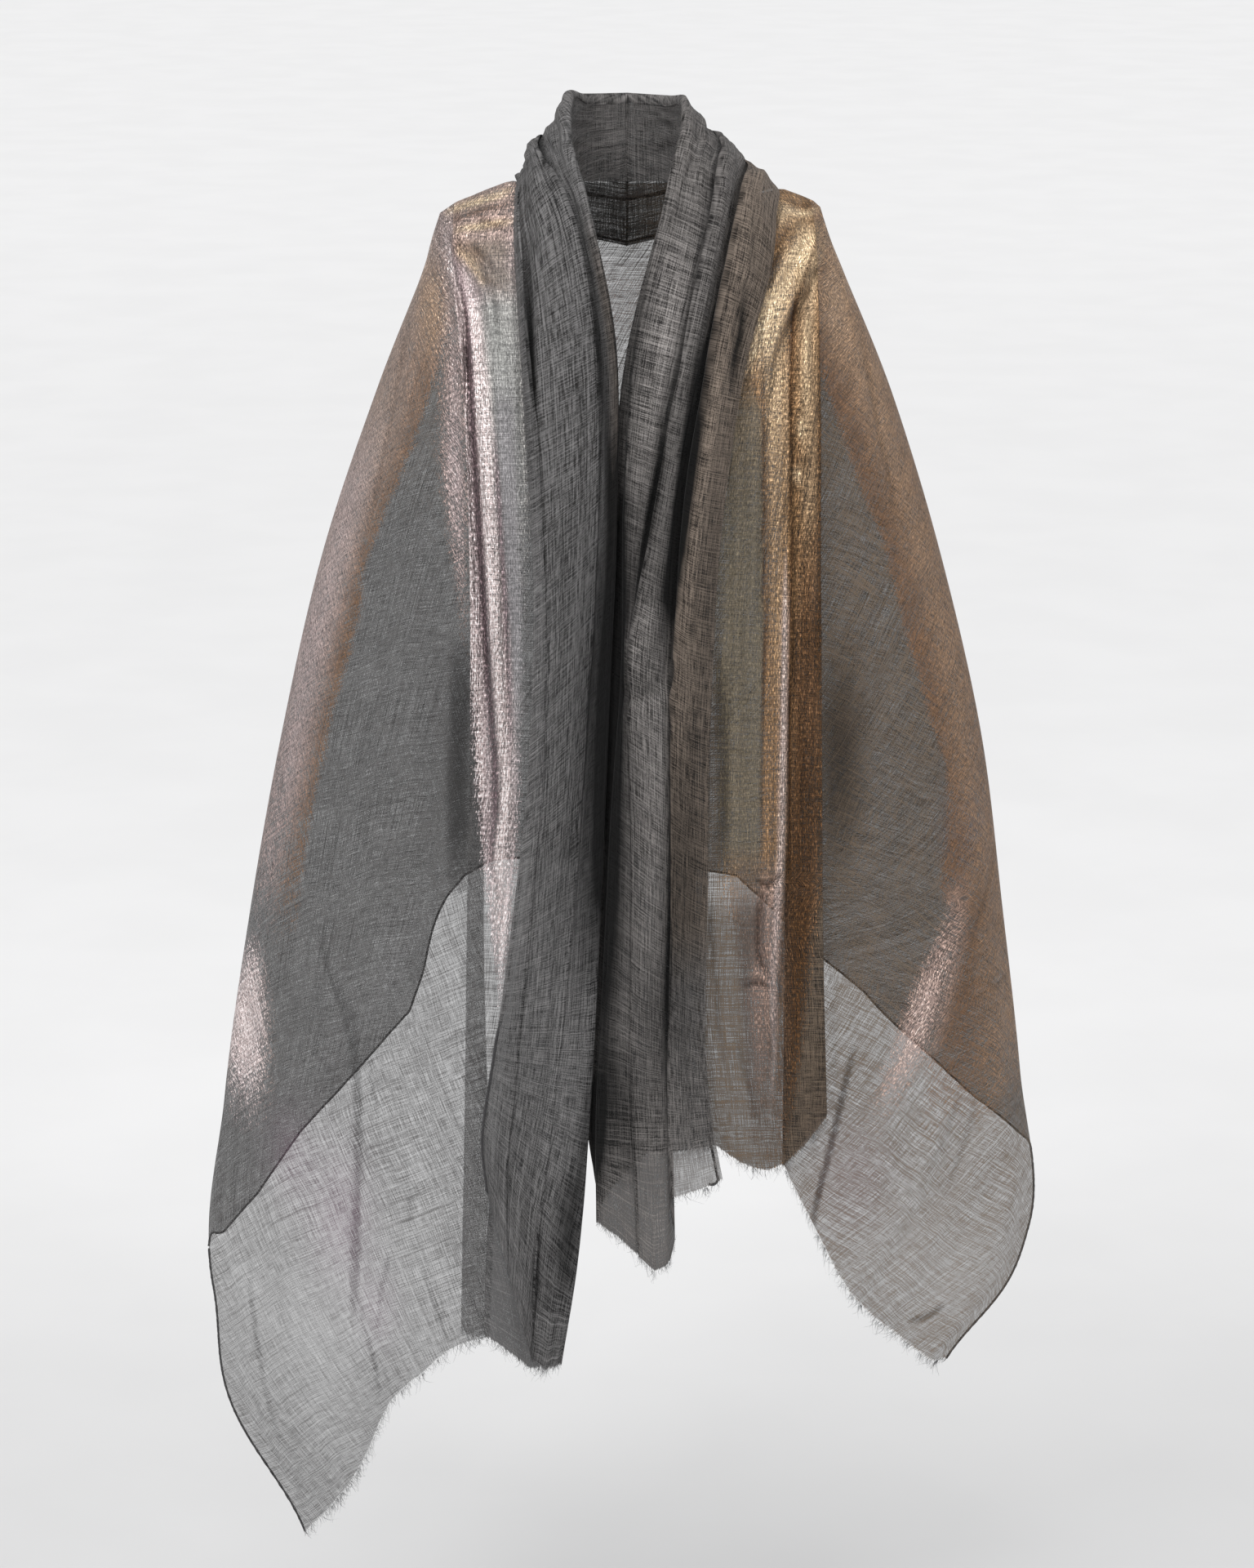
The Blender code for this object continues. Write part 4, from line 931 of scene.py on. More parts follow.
def drape(side):
    """One side's cloth from the tuck under the collar, through the pleat, out over the arm."""
    table, sign = side["lines"], side["sign"]
    stations = stations_along(table, "side", SHOULDER, END, ROW_STEP * 1.05)
    tuck, fold, pleat = (line(table, name, stations) for name in ("tuck", "fold", "pleat"))
    outline = line(table, "side", stations)
    outline[:, 0] += sign * side["belly"] * swell(stations - (SHIN + END) / 2, (END - SHIN) / 2)
    laid = ease(stations, SHOULDER, SHOULDER + 0.5)[:, None]
    into = inward(table, sign, stations)
    outward = unit(fold - tuck)

    shares = 1 - (1 - np.linspace(0, 1, FRONT_COLUMNS)) ** 1.1
    front = tuck[:, None] + (fold - tuck)[:, None] * shares[None, :, None]
    swollen = np.sin(np.pi * shares)[None] * ease(stations, SHOULDER, BUST)[:, None]
    front[..., 1] -= FRONT_SWELL * swollen
    falls = ease(stations, KNEE, END)[:, None]
    front[..., 2] += smooth_ends(side["front_end"], shares)[None] * falls

    depth = PLY * laid
    turn = hairpin(fold, into, outward, 0.0 * depth, depth, TURN_COLUMNS)
    hidden_shares = np.linspace(0, 1, HIDDEN_COLUMNS)
    hidden = (fold + into * depth)[:, None] + (pleat - fold)[:, None] * hidden_shares[None, :, None]
    back_turn = hairpin(pleat, into, -outward, depth, depth * WING_DEPTH, TURN_COLUMNS)

    inner = pleat + into * depth * WING_DEPTH
    reach = outline - inner
    wing_shares = np.linspace(0, 1, WING_COLUMNS)
    start = inner + reach * np.array(PLEAT_HANDLE)
    arrive = outline - reach * np.array(ARM_HANDLE)
    wing = bezier(inner, start, arrive, outline, wing_shares)
    wing[..., 2] += smooth_ends(side["wing_end"], wing_shares)[None] * falls
    for middle, starts, full, half_width, height in side["wing_folds"]:
        amount = swell(wing_shares - middle, half_width)[None] * ease(stations, starts, full)[:, None]
        wing[..., 1] -= height * MM * amount

    points = np.concatenate([front, turn, hidden, back_turn, wing], axis=1)
    wing_first = points.shape[1] - WING_COLUMNS
    share = np.concatenate([np.zeros(wing_first), wing_shares])
    points = meet_ridge(points, table, stations)

    flat = points[..., [0, 2]] / MM
    on_front = 1 - ease(share, 0.10, 0.26)
    across = flat[..., 0]
    down = -flat[..., 1]
    seed = side["seed"]
    front_height, front_plies = creased(flat, side["front_creases"])
    wing_height, wing_plies = creased(flat, side["wing_creases"])
    begins = ease(stations, SHOULDER + 0.15, CHEST)[:, None]
    fine = ripples(across, down, seed, 15, 260) * 0.9 + ripples(across, down, seed + 1, 7, 160) * 0.35
    front_height = (front_height + fine * MM * begins) * on_front[None]
    slant = across + down * side["grain_slope"]
    hang = ripples(slant, down, seed + 2, 42, 620) * 1.7 + ripples(slant, down, seed + 3, 16, 300) * 0.45
    at_side = 1 - ease(share, 0.90, 1.0)
    wing_height = (wing_height + hang * MM * begins) * (1 - on_front)[None] * at_side[None]
    points[..., 1] -= front_height + wing_height
    plies = front_plies * (share == 0)[None] + wing_plies * ease(share, 0.0, 0.02)[None]
    return {
        "points": points, "stations": stations, "share": share, "flat": flat, "plies": plies,
        "wing_first": wing_first, "front_last": FRONT_COLUMNS,
    }


def back():
    """The cloth behind: from one side line over the shoulder blades to the other."""
    stations = stations_along(LEFT, "side", SHOULDER, BACK_HEM, ROW_STEP * 1.35)
    behind = []
    arm_shares = np.linspace(0, 1, 60)
    for table, hem_at in ((LEFT, BACK_HEM), (RIGHT, RIGHT_BACK_HEM)):
        side_stations = SHOULDER + (stations - SHOULDER) * (hem_at - SHOULDER) / (BACK_HEM - SHOULDER)
        outline, blade = line(table, "side", side_stations), line(table, "blade", stations)
        reach = blade - outline
        turn = outline + reach * np.array(ARM_HANDLE)
        end = blade - reach * np.array(BLADE_HANDLE)
        points = bezier(outline, turn, end, blade, arm_shares)
        sag = np.sin(np.pi * arm_shares)[None] * ease(stations, HIP, BACK_HEM)[:, None]
        points[..., 2] -= SIDE_HEM_SAG * sag
        behind.append(points)
    mirror = np.array([-1, 1, 1])
    across = [
        line(LEFT, "blade", stations),
        smooth(BACK["nape"], stations - SHOULDER) * MM * mirror,
        smooth(BACK["collar_base"], stations - SHOULDER) * MM * mirror,
        smooth(BACK["spine"], stations - SHOULDER) * MM,
        smooth(BACK["collar_base"], stations - SHOULDER) * MM,
        smooth(BACK["nape"], stations - SHOULDER) * MM,
        line(RIGHT, "blade", stations),
    ]
    middle = smooth(across, np.linspace(0, 6, 110)).transpose(1, 0, 2)
    for x, starts, full, half_width, height in BACK_FOLDS:
        amount = swell(middle[..., 0] / MM - x, half_width) * ease(stations, starts, full)[:, None]
        middle[..., 1] += height * MM * amount
    points = np.concatenate([behind[0], middle[:, 1:-1], behind[1][:, ::-1]], axis=1)
    soft = points[..., 1].copy()
    for _ in range(40):
        soft[:, 1:-1] = (soft[:, :-2] + soft[:, 1:-1] * 2 + soft[:, 2:]) / 4
    points[..., 1] = soft
    count = points.shape[1]
    place = np.linspace(0, 1, count)
    hem = points[-1]
    across_hem, hem_height = np.array(BACK_HEM_LINE).T * MM
    near_sides = ease(place, 0.0, 0.05) * (1 - ease(place, 0.95, 1.0))
    drop = (np.interp(hem[:, 0], across_hem, hem_height) - hem[:, 2]) * near_sides
    points[..., 2] += drop[None] * ease(stations, HIP, BACK_HEM)[:, None] ** 1.5
    half = count // 2
    points = np.concatenate(
        [
            meet_ridge_back(points[:, :half], LEFT, stations),
            meet_ridge_back(points[:, half:], RIGHT, stations),
        ],
        axis=1,
    )
    flat = points[..., [0, 2]] / MM
    begins = ease(stations, SHOULDER + 0.3, BUST)[:, None]
    at_sides = (ease(place, 0.0, 0.06) * (1 - ease(place, 0.94, 1.0)))[None]
    height, plies = creased(flat, BACK_CREASES)
    hang = ripples(flat[..., 0], -flat[..., 1], 31, 60, 900) * 2.4
    hang += ripples(flat[..., 0], -flat[..., 1], 32, 19, 420) * 0.6
    points[..., 1] += (height + hang * MM * begins) * at_sides
    return {"points": points, "stations": stations, "flat": flat, "plies": plies * at_sides}


def meet_ridge_back(points, table, stations):
    """The same as meet_ridge, only where the shoulder's ridge is, beside the neck."""
    met = meet_ridge(points.copy(), table, stations)
    beside = ease(np.abs(points[0, :, 0]), 74 * MM, 92 * MM)[None, :, None]
    return points + (met - points) * beside


PANEL_COLUMNS = 16  # columns of the collar's outer panel, and of its middle one
FOLD_COLUMNS = 13  # through each laid fold
NECK_PANEL_COLUMNS = 26
ROLL_COLUMNS = 11
UNDER_COLUMNS = 36
TONGUE_SHARE = 0.4  # of the under ply, whose fold shows between the two collars
FOLD_FULLNESS = 1.25  # the laid folds' height on the cloth, over that of the part's plain steps
SPINE_OVERLAP = 1.0 * MM  # of the two collars, where they meet behind the neck
# Cloth across the collar at each place, as shares of its width.
CLOTH_ACROSS = (
    (0, 0), (1, 0.3), (2, 0.32), (4, 0.62), (5, 0.65), (7, 1), (9, 1.04), (12, 1.9),
)
# A laid fold, as shares of its height: along the cloth towards the roll, and out from it.
FOLD_PROFILE = (
    (0.00, 0.80), (0.34, 0.55), (0.36, 0.30), (0.02, 0.15), (-0.55, 0.13), (-0.70, 0.06),
    (-0.40, 0.00), (0.20, -0.02), (0.80, 0.00),
)


def panel_rise(share):
    """Height of a rounded panel, as a share of its fold's, from its start to its fold."""
    return 0.06 + 0.94 * np.sin(np.pi * (0.02 + 0.69 * share)) ** 1.2


def fold_part(start, high, across, out, share, place, count):
    """Through a laid fold: the ply turns under at its crest and comes out on the next panel."""
    profile = smooth(FOLD_PROFILE, np.linspace(0, len(FOLD_PROFILE) - 1, count + 2)[1:-1])
    parts = []
    for along, lift in profile:
        parts.append(start(share) + across * high * along + out * high * lift)
    return np.stack(parts, axis=1), np.linspace(place, place + 1, count + 2)[1:-1]


def collar_lie(side):
    """Where a collar lies: stations, its lines, and the ways out from it and across to the roll."""
    table, sign = side["lines"], side["sign"]
    stations = np.concatenate(
        [
            stations_along(table, "edge", SPINE, SHOULDER, ROW_STEP),
            stations_along(table, "roll", SHOULDER, END, ROW_STEP)[1:],
        ]
    )
    edge, roll, tuck = (line(table, name, stations) for name in ("edge", "roll", "tuck"))
    near = 0.05
    along = line(table, "edge", stations + near) + line(table, "roll", stations + near)
    along -= line(table, "edge", np.maximum(stations - near, 0))
    along -= line(table, "roll", np.maximum(stations - near, 0))
    along[stations < near] = (sign, 0, 0)
    reach = roll - edge
    laid = smooth(side["collar"], stations)
    outer_high, inner_high, half, crown = (laid[:, i : i + 1] * MM for i in (2, 3, 4, 5))
    return {
        "stations": stations, "edge": edge, "roll": roll, "tuck": tuck, "reach": reach,
        "out": unit(np.cross(reach, along) * sign), "across": unit(reach),
        "outer": laid[:, 0:1], "inner": laid[:, 1:2], "half": half, "crown": crown,
        "outer_high": outer_high * FOLD_FULLNESS, "inner_high": inner_high * FOLD_FULLNESS,
    }


def collar_points(lie, tongue):
    """The collar's points, and the place of each column.

    Places run 0-1 over the outer panel, 2-4 over the middle one and 5-7 over the one beside the
    neck, with a laid fold between each two, then 7-9 round the roll and 9-12 along the under ply.
    """
    edge, roll, tuck, reach = lie["edge"], lie["roll"], lie["tuck"], lie["reach"]
    out, across, half, crown = lie["out"], lie["across"], lie["half"], lie["crown"]
    outer, inner = lie["outer"], lie["inner"]
    outer_high, inner_high = lie["outer_high"], lie["inner_high"]

    def ply(share):
        swollen = half * (0.6 + 0.4 * ease(share, 0.75, 1.0)) * np.minimum(share * 6, 1)
        full = np.abs(np.sin(np.pi * share)) ** 0.7
        return edge + reach * share + out * (swollen + crown * full)

    columns, places = [], []
    for share in np.linspace(0, 1, PANEL_COLUMNS):
        rise = outer_high * panel_rise(share)
        columns.append((ply(outer * share) + out * rise)[:, None])
        places.append([share])
    part, place = fold_part(ply, outer_high, across, out, outer, 1, FOLD_COLUMNS)
    columns.append(part)
    places.append(place)
    for share in np.linspace(0, 1, PANEL_COLUMNS)[1:]:
        rise = inner_high * panel_rise(share)
        here = outer + (inner - outer) * share
        start = (outer_high * 0.8) * (1 - share) ** 2
        columns.append((ply(here) + out * rise + across * start)[:, None])
        places.append([2 + 2 * share])
    part, place = fold_part(ply, inner_high, across, out, inner, 4, FOLD_COLUMNS)
    columns.append(part)
    places.append(place)
    for share in np.linspace(0, 1, NECK_PANEL_COLUMNS)[1:]:
        here = inner + (1 - inner) * share
        start = (inner_high * 0.8) * (1 - share) ** 2
        columns.append((ply(here) + across * start)[:, None])
        places.append([5 + 2 * share])
    for angle in np.linspace(np.pi / 2, -np.pi / 2, ROLL_COLUMNS)[1:]:
        point = roll + out * half * math.sin(angle) + across * half * 0.8 * math.cos(angle)
        columns.append(point[:, None])
        places.append([8 - 2 * angle / np.pi])
    last = roll - out * half
    for share in np.linspace(0, 1, UNDER_COLUMNS)[1:]:
        loop = math.sin(math.pi * min(share / TONGUE_SHARE, 1.0))
        run = share ** 2.2 if share < 1 else 1.0
        point = last + (tuck - last) * run + across * tongue * loop - out * tongue * 0.35 * loop
        columns.append(point[:, None])
        places.append([9 + 3 * share])
    return np.concatenate(columns, axis=1), np.concatenate(places)


def collar_shade(side, lie, flat, place, creases, over, in_front):
    """The collar's painted shade: in its laid folds and creases, in the painted strokes of shade and
    highlight, and in the gap at the roll between the two collars; and the plies that the creases, the dark
    strokes and the gap gather.
    """
    stations = lie["stations"]
    in_folds = swell(place - 1.75, 0.55) + swell(place - 4.75, 0.55)
    strong = np.clip(np.where(place < 3, lie["outer_high"], lie["inner_high"]) / (7 * MM), 0, 1)
    toned = [(strength, half_width, 0.0, route) for strength, half_width, route in side["collar_shade_and_highlights"]]
    strokes = creased(flat, toned)[0] / MM * in_front
    # Painted shade in the fold valleys and along the creases, plus the strokes of painted shade and
    # highlight.
    dark = in_folds[None] * strong * 0.9 * over + creases * over * in_front * 0.35 + strokes
    # Painted shade, and extra plies, in the narrow gap at the roll between the two collars.
    narrow_gap = ease(stations, CHEST, BUST) * (1 - 0.75 * ease(stations, HIP + 0.6, THIGH + 0.3))
    plies_and_shade = swell(place - 8.2, 2.3)[None] * narrow_gap[:, None] * 1.1
    return dark + plies_and_shade, creases * over * in_front + plies_and_shade * 2 + np.maximum(strokes, 0) * 1.5


def collar(side):
    """The collar of one side: over ply with two laid folds, roll at the neck, under ply."""
    lie = collar_lie(side)
    stations = lie["stations"]
    points, place = collar_points(lie, smooth(side["tongue"], stations)[:, None] * MM)

    ends = np.interp(place, np.arange(len(side["collar_end"])), side["collar_end"]) * MM
    points[..., 2] += ends[None] * ease(stations, SHIN, END)[:, None]
    normals = grid_normals(points)
    points[0, :, 0] -= side["sign"] * SPINE_OVERLAP
    flat = points[..., [0, 2]] / MM
    run = lengths(lie["edge"] * 0.5 + lie["roll"] * 0.5)[:, None] / MM
    over = (1 - ease(place, 6.8, 7.6))[None]
    in_front = ease(stations, SHOULDER, COLLARBONE)[:, None]
    height, creases = creased(flat, side["collar_creases"])
    height = height * in_front * over
    wide = np.linalg.norm(lie["reach"], axis=1)[:, None] / MM
    across_mm = np.interp(place, *np.array(CLOTH_ACROSS).T)
    across_mm = across_mm[None] * (wide * 0.3 + 70)
    seed = side["seed"] + 10
    fine = ripples(across_mm, run, seed, 13, 300) * 0.8 + ripples(across_mm, run, seed + 1, 6, 150) * 0.3
    neck = ripples(across_mm, run, seed + 2, 26, 70) * 2.2 * (1 - in_front)
    behind = ease(place, 7.6, 9.2)[None] * (1 - ease(place, 11.0, 12.0))[None]
    amount = over + behind * 0.5
    from_spine = ease(stations, SPINE, BEHIND)[:, None]
    lifted = height + (fine * 1.4 + neck) * MM * amount * ease(place, 0.0, 0.6)[None] * from_spine
    points += normals * (lifted * side["collar_normal"])[..., None]
    deep, plies = collar_shade(side, lie, flat, place, creases, over, in_front)
    return {
        "points": points, "stations": stations, "place": place, "flat": flat, "deep": deep,
        "plies": plies, "run": run, "across_mm": across_mm, "out": lie["out"], "in": lie["across"],
    }


# ------------------------------------------------------------------------------------ meshes


def add_mesh(name, vertices, faces, finish):
    """A smooth mesh object of quads or triangles, all of one kind."""
    mesh = bpy.data.meshes.new(name)
    sides = faces.shape[1]
    mesh.vertices.add(len(vertices))
    mesh.vertices.foreach_set("co", np.ascontiguousarray(vertices, dtype=np.float32).ravel())
    mesh.loops.add(faces.size)
    mesh.loops.foreach_set("vertex_index", np.ascontiguousarray(faces, dtype=np.int32).ravel())
    mesh.polygons.add(len(faces))
    starts = np.arange(0, faces.size, sides, dtype=np.int32)
    mesh.polygons.foreach_set("loop_start", starts)
    mesh.update(calc_edges=True)
    mesh.validate()
    mesh.shade_smooth()
    mesh.materials.append(finish)
    made = bpy.data.objects.new(name, mesh)
    bpy.context.scene.collection.objects.link(made)
    return made


def grid_faces(rows, columns):
    corner = (np.arange(rows - 1)[:, None] * columns + np.arange(columns - 1)[None]).ravel()
    return np.stack([corner, corner + columns, corner + columns + 1, corner + 1], axis=1)


def corner_values(values):
    """Values at the points of a grid, one for each corner of each face."""
    parts = [values[:-1, :-1], values[1:, :-1], values[1:, 1:], values[:-1, 1:]]
    return np.stack(parts, axis=2)


def add_sheet(name, points, weave, layers, finish):
    """A sheet through a grid of points. weave: cloth coordinates at each face's corners."""
    rows, columns = points.shape[:2]
    made = add_mesh(name, points.reshape(-1, 3), grid_faces(rows, columns), finish)
    mesh = made.data
    uv = mesh.uv_layers.new(name="weave")
    uv.data.foreach_set("uv", np.ascontiguousarray(weave, dtype=np.float32).ravel())
    for key, values in layers.items():
        if values.ndim == 3:
            layer = mesh.attributes.new(key, "FLOAT_COLOR", "POINT")
            colours = np.concatenate([values, np.ones(values.shape[:2] + (1,))], axis=2)
            layer.data.foreach_set("color", colours.astype(np.float32).ravel())
        else:
            layer = mesh.attributes.new(key, "FLOAT", "POINT")
            layer.data.foreach_set("value", values.astype(np.float32).ravel())
    return made


def tube(name, path, radius, finish, seed, sides=8):
    """A rolled hem: a cord of cloth along the path, a little uneven."""
    path = curve_through(path, 2.5 * MM)
    forward = unit(np.gradient(path, axis=0))
    helper = np.where(np.abs(forward[:, 1:2]) < 0.9, [[0.0, 1.0, 0.0]], [[1.0, 0.0, 0.0]])
    first = unit(np.cross(forward, helper))
    second = np.cross(forward, first)
    angles = np.linspace(0, 2 * np.pi, sides, endpoint=False)
    run = lengths(path) / MM
    thick = radius * (1 + 0.16 * ripples(run, run * 0, seed, 9, 9))[:, None, None]
    twist = run[:, None] * 0.35
    lobes = 1 + 0.12 * np.cos(3 * (angles[None] + twist))
    ring = first[:, None] * np.cos(angles)[None, :, None] + second[:, None] * np.sin(angles)[None, :, None]
    points = path[:, None] + ring * thick * lobes[..., None]
    rows = len(path)
    index = np.arange(rows * sides).reshape(rows, sides)
    a, b = index[:-1], index[1:]
    faces = np.stack([a, b, np.roll(b, -1, axis=1), np.roll(a, -1, axis=1)], axis=2).reshape(-1, 4)
    return add_mesh(name, points.reshape(-1, 3), faces, finish)


def threads(name, edge, before, finish, seed):
    """Loose threads of a frayed end. edge: the last row of the cloth; before: a row inside it."""
    draw = np.random.default_rng(seed)
    run = lengths(edge)
    count = int(run[-1] / MM * THREADS_PER_MM)
    # Just under half of the threads stand anywhere, and the others in clumps.
    clumps = draw.uniform(0, run[-1], max(count // 9, 3))
    places = np.where(
        draw.random(count) < 0.45,
        draw.uniform(0, run[-1], count),
        clumps[draw.integers(0, len(clumps), count)] + draw.normal(0, 1.6 * MM, count),
    )
    places = np.clip(places, 0, run[-1])

    def at(values):
        return np.stack([np.interp(places, run, values[:, i]) for i in range(3)], axis=1)

    root = at(edge)
    outward = unit(at(edge) - at(before))
    side = unit(at(np.gradient(edge, axis=0)))
    lift = unit(np.cross(outward, side))
    long = np.minimum(draw.gamma(2.4, 1.9, count) + 1.5, LONGEST_THREAD) * MM
    lean = draw.normal(0, 0.33, count)[:, None]
    rise = draw.normal(0, 0.22, count)[:, None]
    bend = draw.normal(0, 0.5, count)[:, None]
    curl = draw.normal(0, 0.35, count)[:, None]
    steps = np.linspace(0, 1, 6)
    root = root - outward * 2.2 * MM
    paths = []
    for step in steps:
        way = outward * (step + 0.25) + side * (lean * step + bend * step**2)
        way += lift * (rise * step + curl * step**2)
        paths.append(root + way * long[:, None])
    paths = np.stack(paths, axis=1)
    thick = draw.uniform(0.13, 0.24, count)[:, None, None] * MM
    taper = (1 - 0.55 * steps)[None, :, None]
    ring = []
    for angle in (math.pi / 2, math.pi * 7 / 6, math.pi * 11 / 6):
        offset = side[:, None] * math.cos(angle) + lift[:, None] * math.sin(angle)
        ring.append(paths + offset * thick * taper)
    points = np.stack(ring, axis=2)
    index = np.arange(points.shape[0] * len(steps) * 3).reshape(points.shape[0], len(steps), 3)
    a, b = index[:, :-1], index[:, 1:]
    faces = np.stack([a, b, np.roll(b, -1, axis=2), np.roll(a, -1, axis=2)], axis=3).reshape(-1, 4)
    return add_mesh(name, points.reshape(-1, 3), faces, finish)


# --------------------------------------------------------------------------------- materials


class Nodes:
    """Short names for building a material's node tree."""

    def __init__(self, material):
        material.use_nodes = True
        self.tree = material.node_tree
        self.shader = self.tree.nodes["Principled BSDF"]
        uv = self.tree.nodes.new("ShaderNodeUVMap")
        uv.uv_map = "weave"
        self.weave = uv.outputs["UV"]

    def put(self, socket, value):
        if isinstance(value, bpy.types.NodeSocket):
            self.tree.links.new(value, socket)
        elif hasattr(value, "__len__") and len(value) == 3 and len(socket.default_value) == 4:
            socket.default_value = (*value, 1.0)
        else:
            socket.default_value = value

    def attribute(self, name, kind="Fac"):
        node = self.tree.nodes.new("ShaderNodeAttribute")
        node.attribute_name = name
        return node.outputs[kind]

    def noise(self, across, along, detail=2.0, turn=0.0):
        """Noise with so many cells a metre across the warp and along it."""
        place = self.tree.nodes.new("ShaderNodeMapping")
        place.inputs["Scale"].default_value = (across, along, 1.0)
        place.inputs["Location"].default_value = (turn * 3.1, turn * 1.7, turn)
        self.put(place.inputs["Vector"], self.weave)
        node = self.tree.nodes.new("ShaderNodeTexNoise")
        node.noise_dimensions = "2D"
        node.inputs["Scale"].default_value = 1.0
        node.inputs["Detail"].default_value = detail
        node.inputs["Roughness"].default_value = 0.55
        self.put(node.inputs["Vector"], place.outputs["Vector"])
        return node.outputs["Fac"]

    def calc(self, operation, first, second=0.0, third=0.0):
        node = self.tree.nodes.new("ShaderNodeMath")
        node.operation = operation
        for socket, value in zip(node.inputs, (first, second, third)):
            self.put(socket, value)
        return node.outputs["Value"]

    def remap(self, value, low, high, to_low=0.0, to_high=1.0, smooth_step=True):
        node = self.tree.nodes.new("ShaderNodeMapRange")
        node.interpolation_type = "SMOOTHSTEP" if smooth_step else "LINEAR"
        for key, number in zip(
            ("From Min", "From Max", "To Min", "To Max"), (low, high, to_low, to_high)
        ):
            node.inputs[key].default_value = number
        self.put(node.inputs["Value"], value)
        return node.outputs["Result"]

    def mix(self, factor, first, second, how="MIX"):
        node = self.tree.nodes.new("ShaderNodeMix")
        node.data_type = "RGBA"
        node.blend_type = how
        self.put(node.inputs[0], factor)
        self.put(node.inputs[6], first)
        self.put(node.inputs[7], second)
        return node.outputs[2]

    def tone(self, value):
        """A number as a grey colour."""
        node = self.tree.nodes.new("ShaderNodeCombineColor")
        for socket in node.inputs:
            self.put(socket, value)
        return node.outputs["Color"]

    def bump(self, height, distance, strength, under=None):
        node = self.tree.nodes.new("ShaderNodeBump")
        node.inputs["Strength"].default_value = strength
        node.inputs["Distance"].default_value = distance
        self.put(node.inputs["Height"], height)
        if under is not None:
            self.put(node.inputs["Normal"], under)
        return node.outputs["Normal"]


def woven(n, turn):
    """The yarn: warp and weft, thick and thin, with slubs. Cells a metre, across and along."""
    warp = n.noise(980, 5, 1.0, turn)
    weft = n.noise(8, 960, 0.0, turn + 2)
    warp_fine = n.noise(1500, 55, 0.0, turn + 1)
    weft_fine = n.noise(62, 1500, 0.0, turn + 3)
    mottle = n.noise(26, 9, 0.0, turn + 6)
    grain = n.noise(860, 760, 0.0, turn + 7)
    streaks = n.calc("MULTIPLY_ADD", weft, 0.27, n.calc("MULTIPLY", warp, 0.36))
    fine = n.calc("MULTIPLY_ADD", weft_fine, 0.34, n.calc("MULTIPLY", warp_fine, 0.38))
    fine = n.calc("MULTIPLY_ADD", grain, 0.22, fine)
    yarn = n.calc("MULTIPLY_ADD", mottle, 0.08, n.calc("ADD", streaks, fine))
    heather = n.remap(yarn, 0.64, 1.01, 0.0, 1.0, False)
    slubs = n.calc("MAXIMUM", n.remap(weft, 0.70, 0.86), n.remap(warp, 0.72, 0.88))
    threads_up = n.calc("ADD", warp, grain)
    return yarn, heather, slubs, threads_up


def yarn_look(n, heather, slubs, deep, yarn_colour, warm_colour):
    """The bare yarn's colour: heathered, warmer in places, stained with plum, and darkened by painted shade
    in folds and creases.
    """
    warmth = n.attribute("warmth")
    base = n.mix(n.calc("MAXIMUM", n.calc("MINIMUM", warmth, 1.0), 0.0), yarn_colour, warm_colour)
    shade = n.remap(heather, 0.0, 1.0, 0.2, 2.5, False)
    shade = n.calc("MULTIPLY_ADD", slubs, 0.55, shade)
    # Painted shade: the yarn is darkened where the mesh's layer paints the shade of folds and creases.
    lit = n.calc("MAXIMUM", n.calc("SUBTRACT", 1.0, n.calc("MULTIPLY", deep, 0.92)), 0.03)
    colour = n.mix(1.0, base, n.tone(n.calc("MULTIPLY", shade, lit)), "MULTIPLY")
    return n.mix(n.calc("MULTIPLY", n.attribute("stain"), 0.75), colour, PLUM), warmth


def foil_look(n, turn, heather, deep, lustre):
    """Where the worn foil still covers the yarn; its colour, flecked, with painted glints, painted sheen
    streaks and painted shade in the folds; and the streak noise.
    """
    foil = n.attribute("foil")
    flake = n.noise(820, 230, 1.0, turn + 9)
    streak = n.noise(210, 4, 1.0, turn + 8)
    speckle = n.calc("MULTIPLY_ADD", streak, 0.2, n.calc("MULTIPLY", flake, 0.8))
    patchy = n.calc("MULTIPLY_ADD", lustre, 1.0, 0.5)
    patchy = n.calc("MULTIPLY", n.calc("SUBTRACT", speckle, 0.5), patchy)
    patchy = n.calc("MULTIPLY_ADD", n.calc("SUBTRACT", heather, 0.5), 0.35, patchy)
    worn = n.calc("MULTIPLY_ADD", foil, 0.78, patchy)
    mask = n.calc("MULTIPLY", n.remap(worn, 0.26, 0.66), n.remap(foil, 0.02, 0.20))
    # Painted sheen: the foil's colour streaked lighter and darker along the warp.
    painted_satin_streaks = n.calc("MULTIPLY_ADD", n.remap(streak, 0.30, 0.70, -0.30, 0.34, False), lustre, 1.0)
    # Painted glints: specks of the foil's colour brightened well past its own.
    painted_glints = n.remap(flake, 0.55, 0.80, 0.0, 2.2)
    glitter = n.calc("MULTIPLY_ADD", painted_glints, lustre, n.remap(flake, 0.25, 0.75, 0.55, 1.20, False))
    on_yarn = n.remap(heather, 0, 1, 0.6, 1.4, False)
    glitter = n.calc("MULTIPLY", n.calc("MULTIPLY", painted_satin_streaks, glitter), on_yarn)
    # Painted shade in the folds dims the foil's colour too.
    glitter = n.calc("MULTIPLY", glitter, n.calc("MAXIMUM", n.calc("SUBTRACT", 1.0, deep), 0.2))
    tint = n.attribute("tint", "Color")
    return mask, n.mix(1.0, tint, n.tone(glitter), "MULTIPLY"), streak


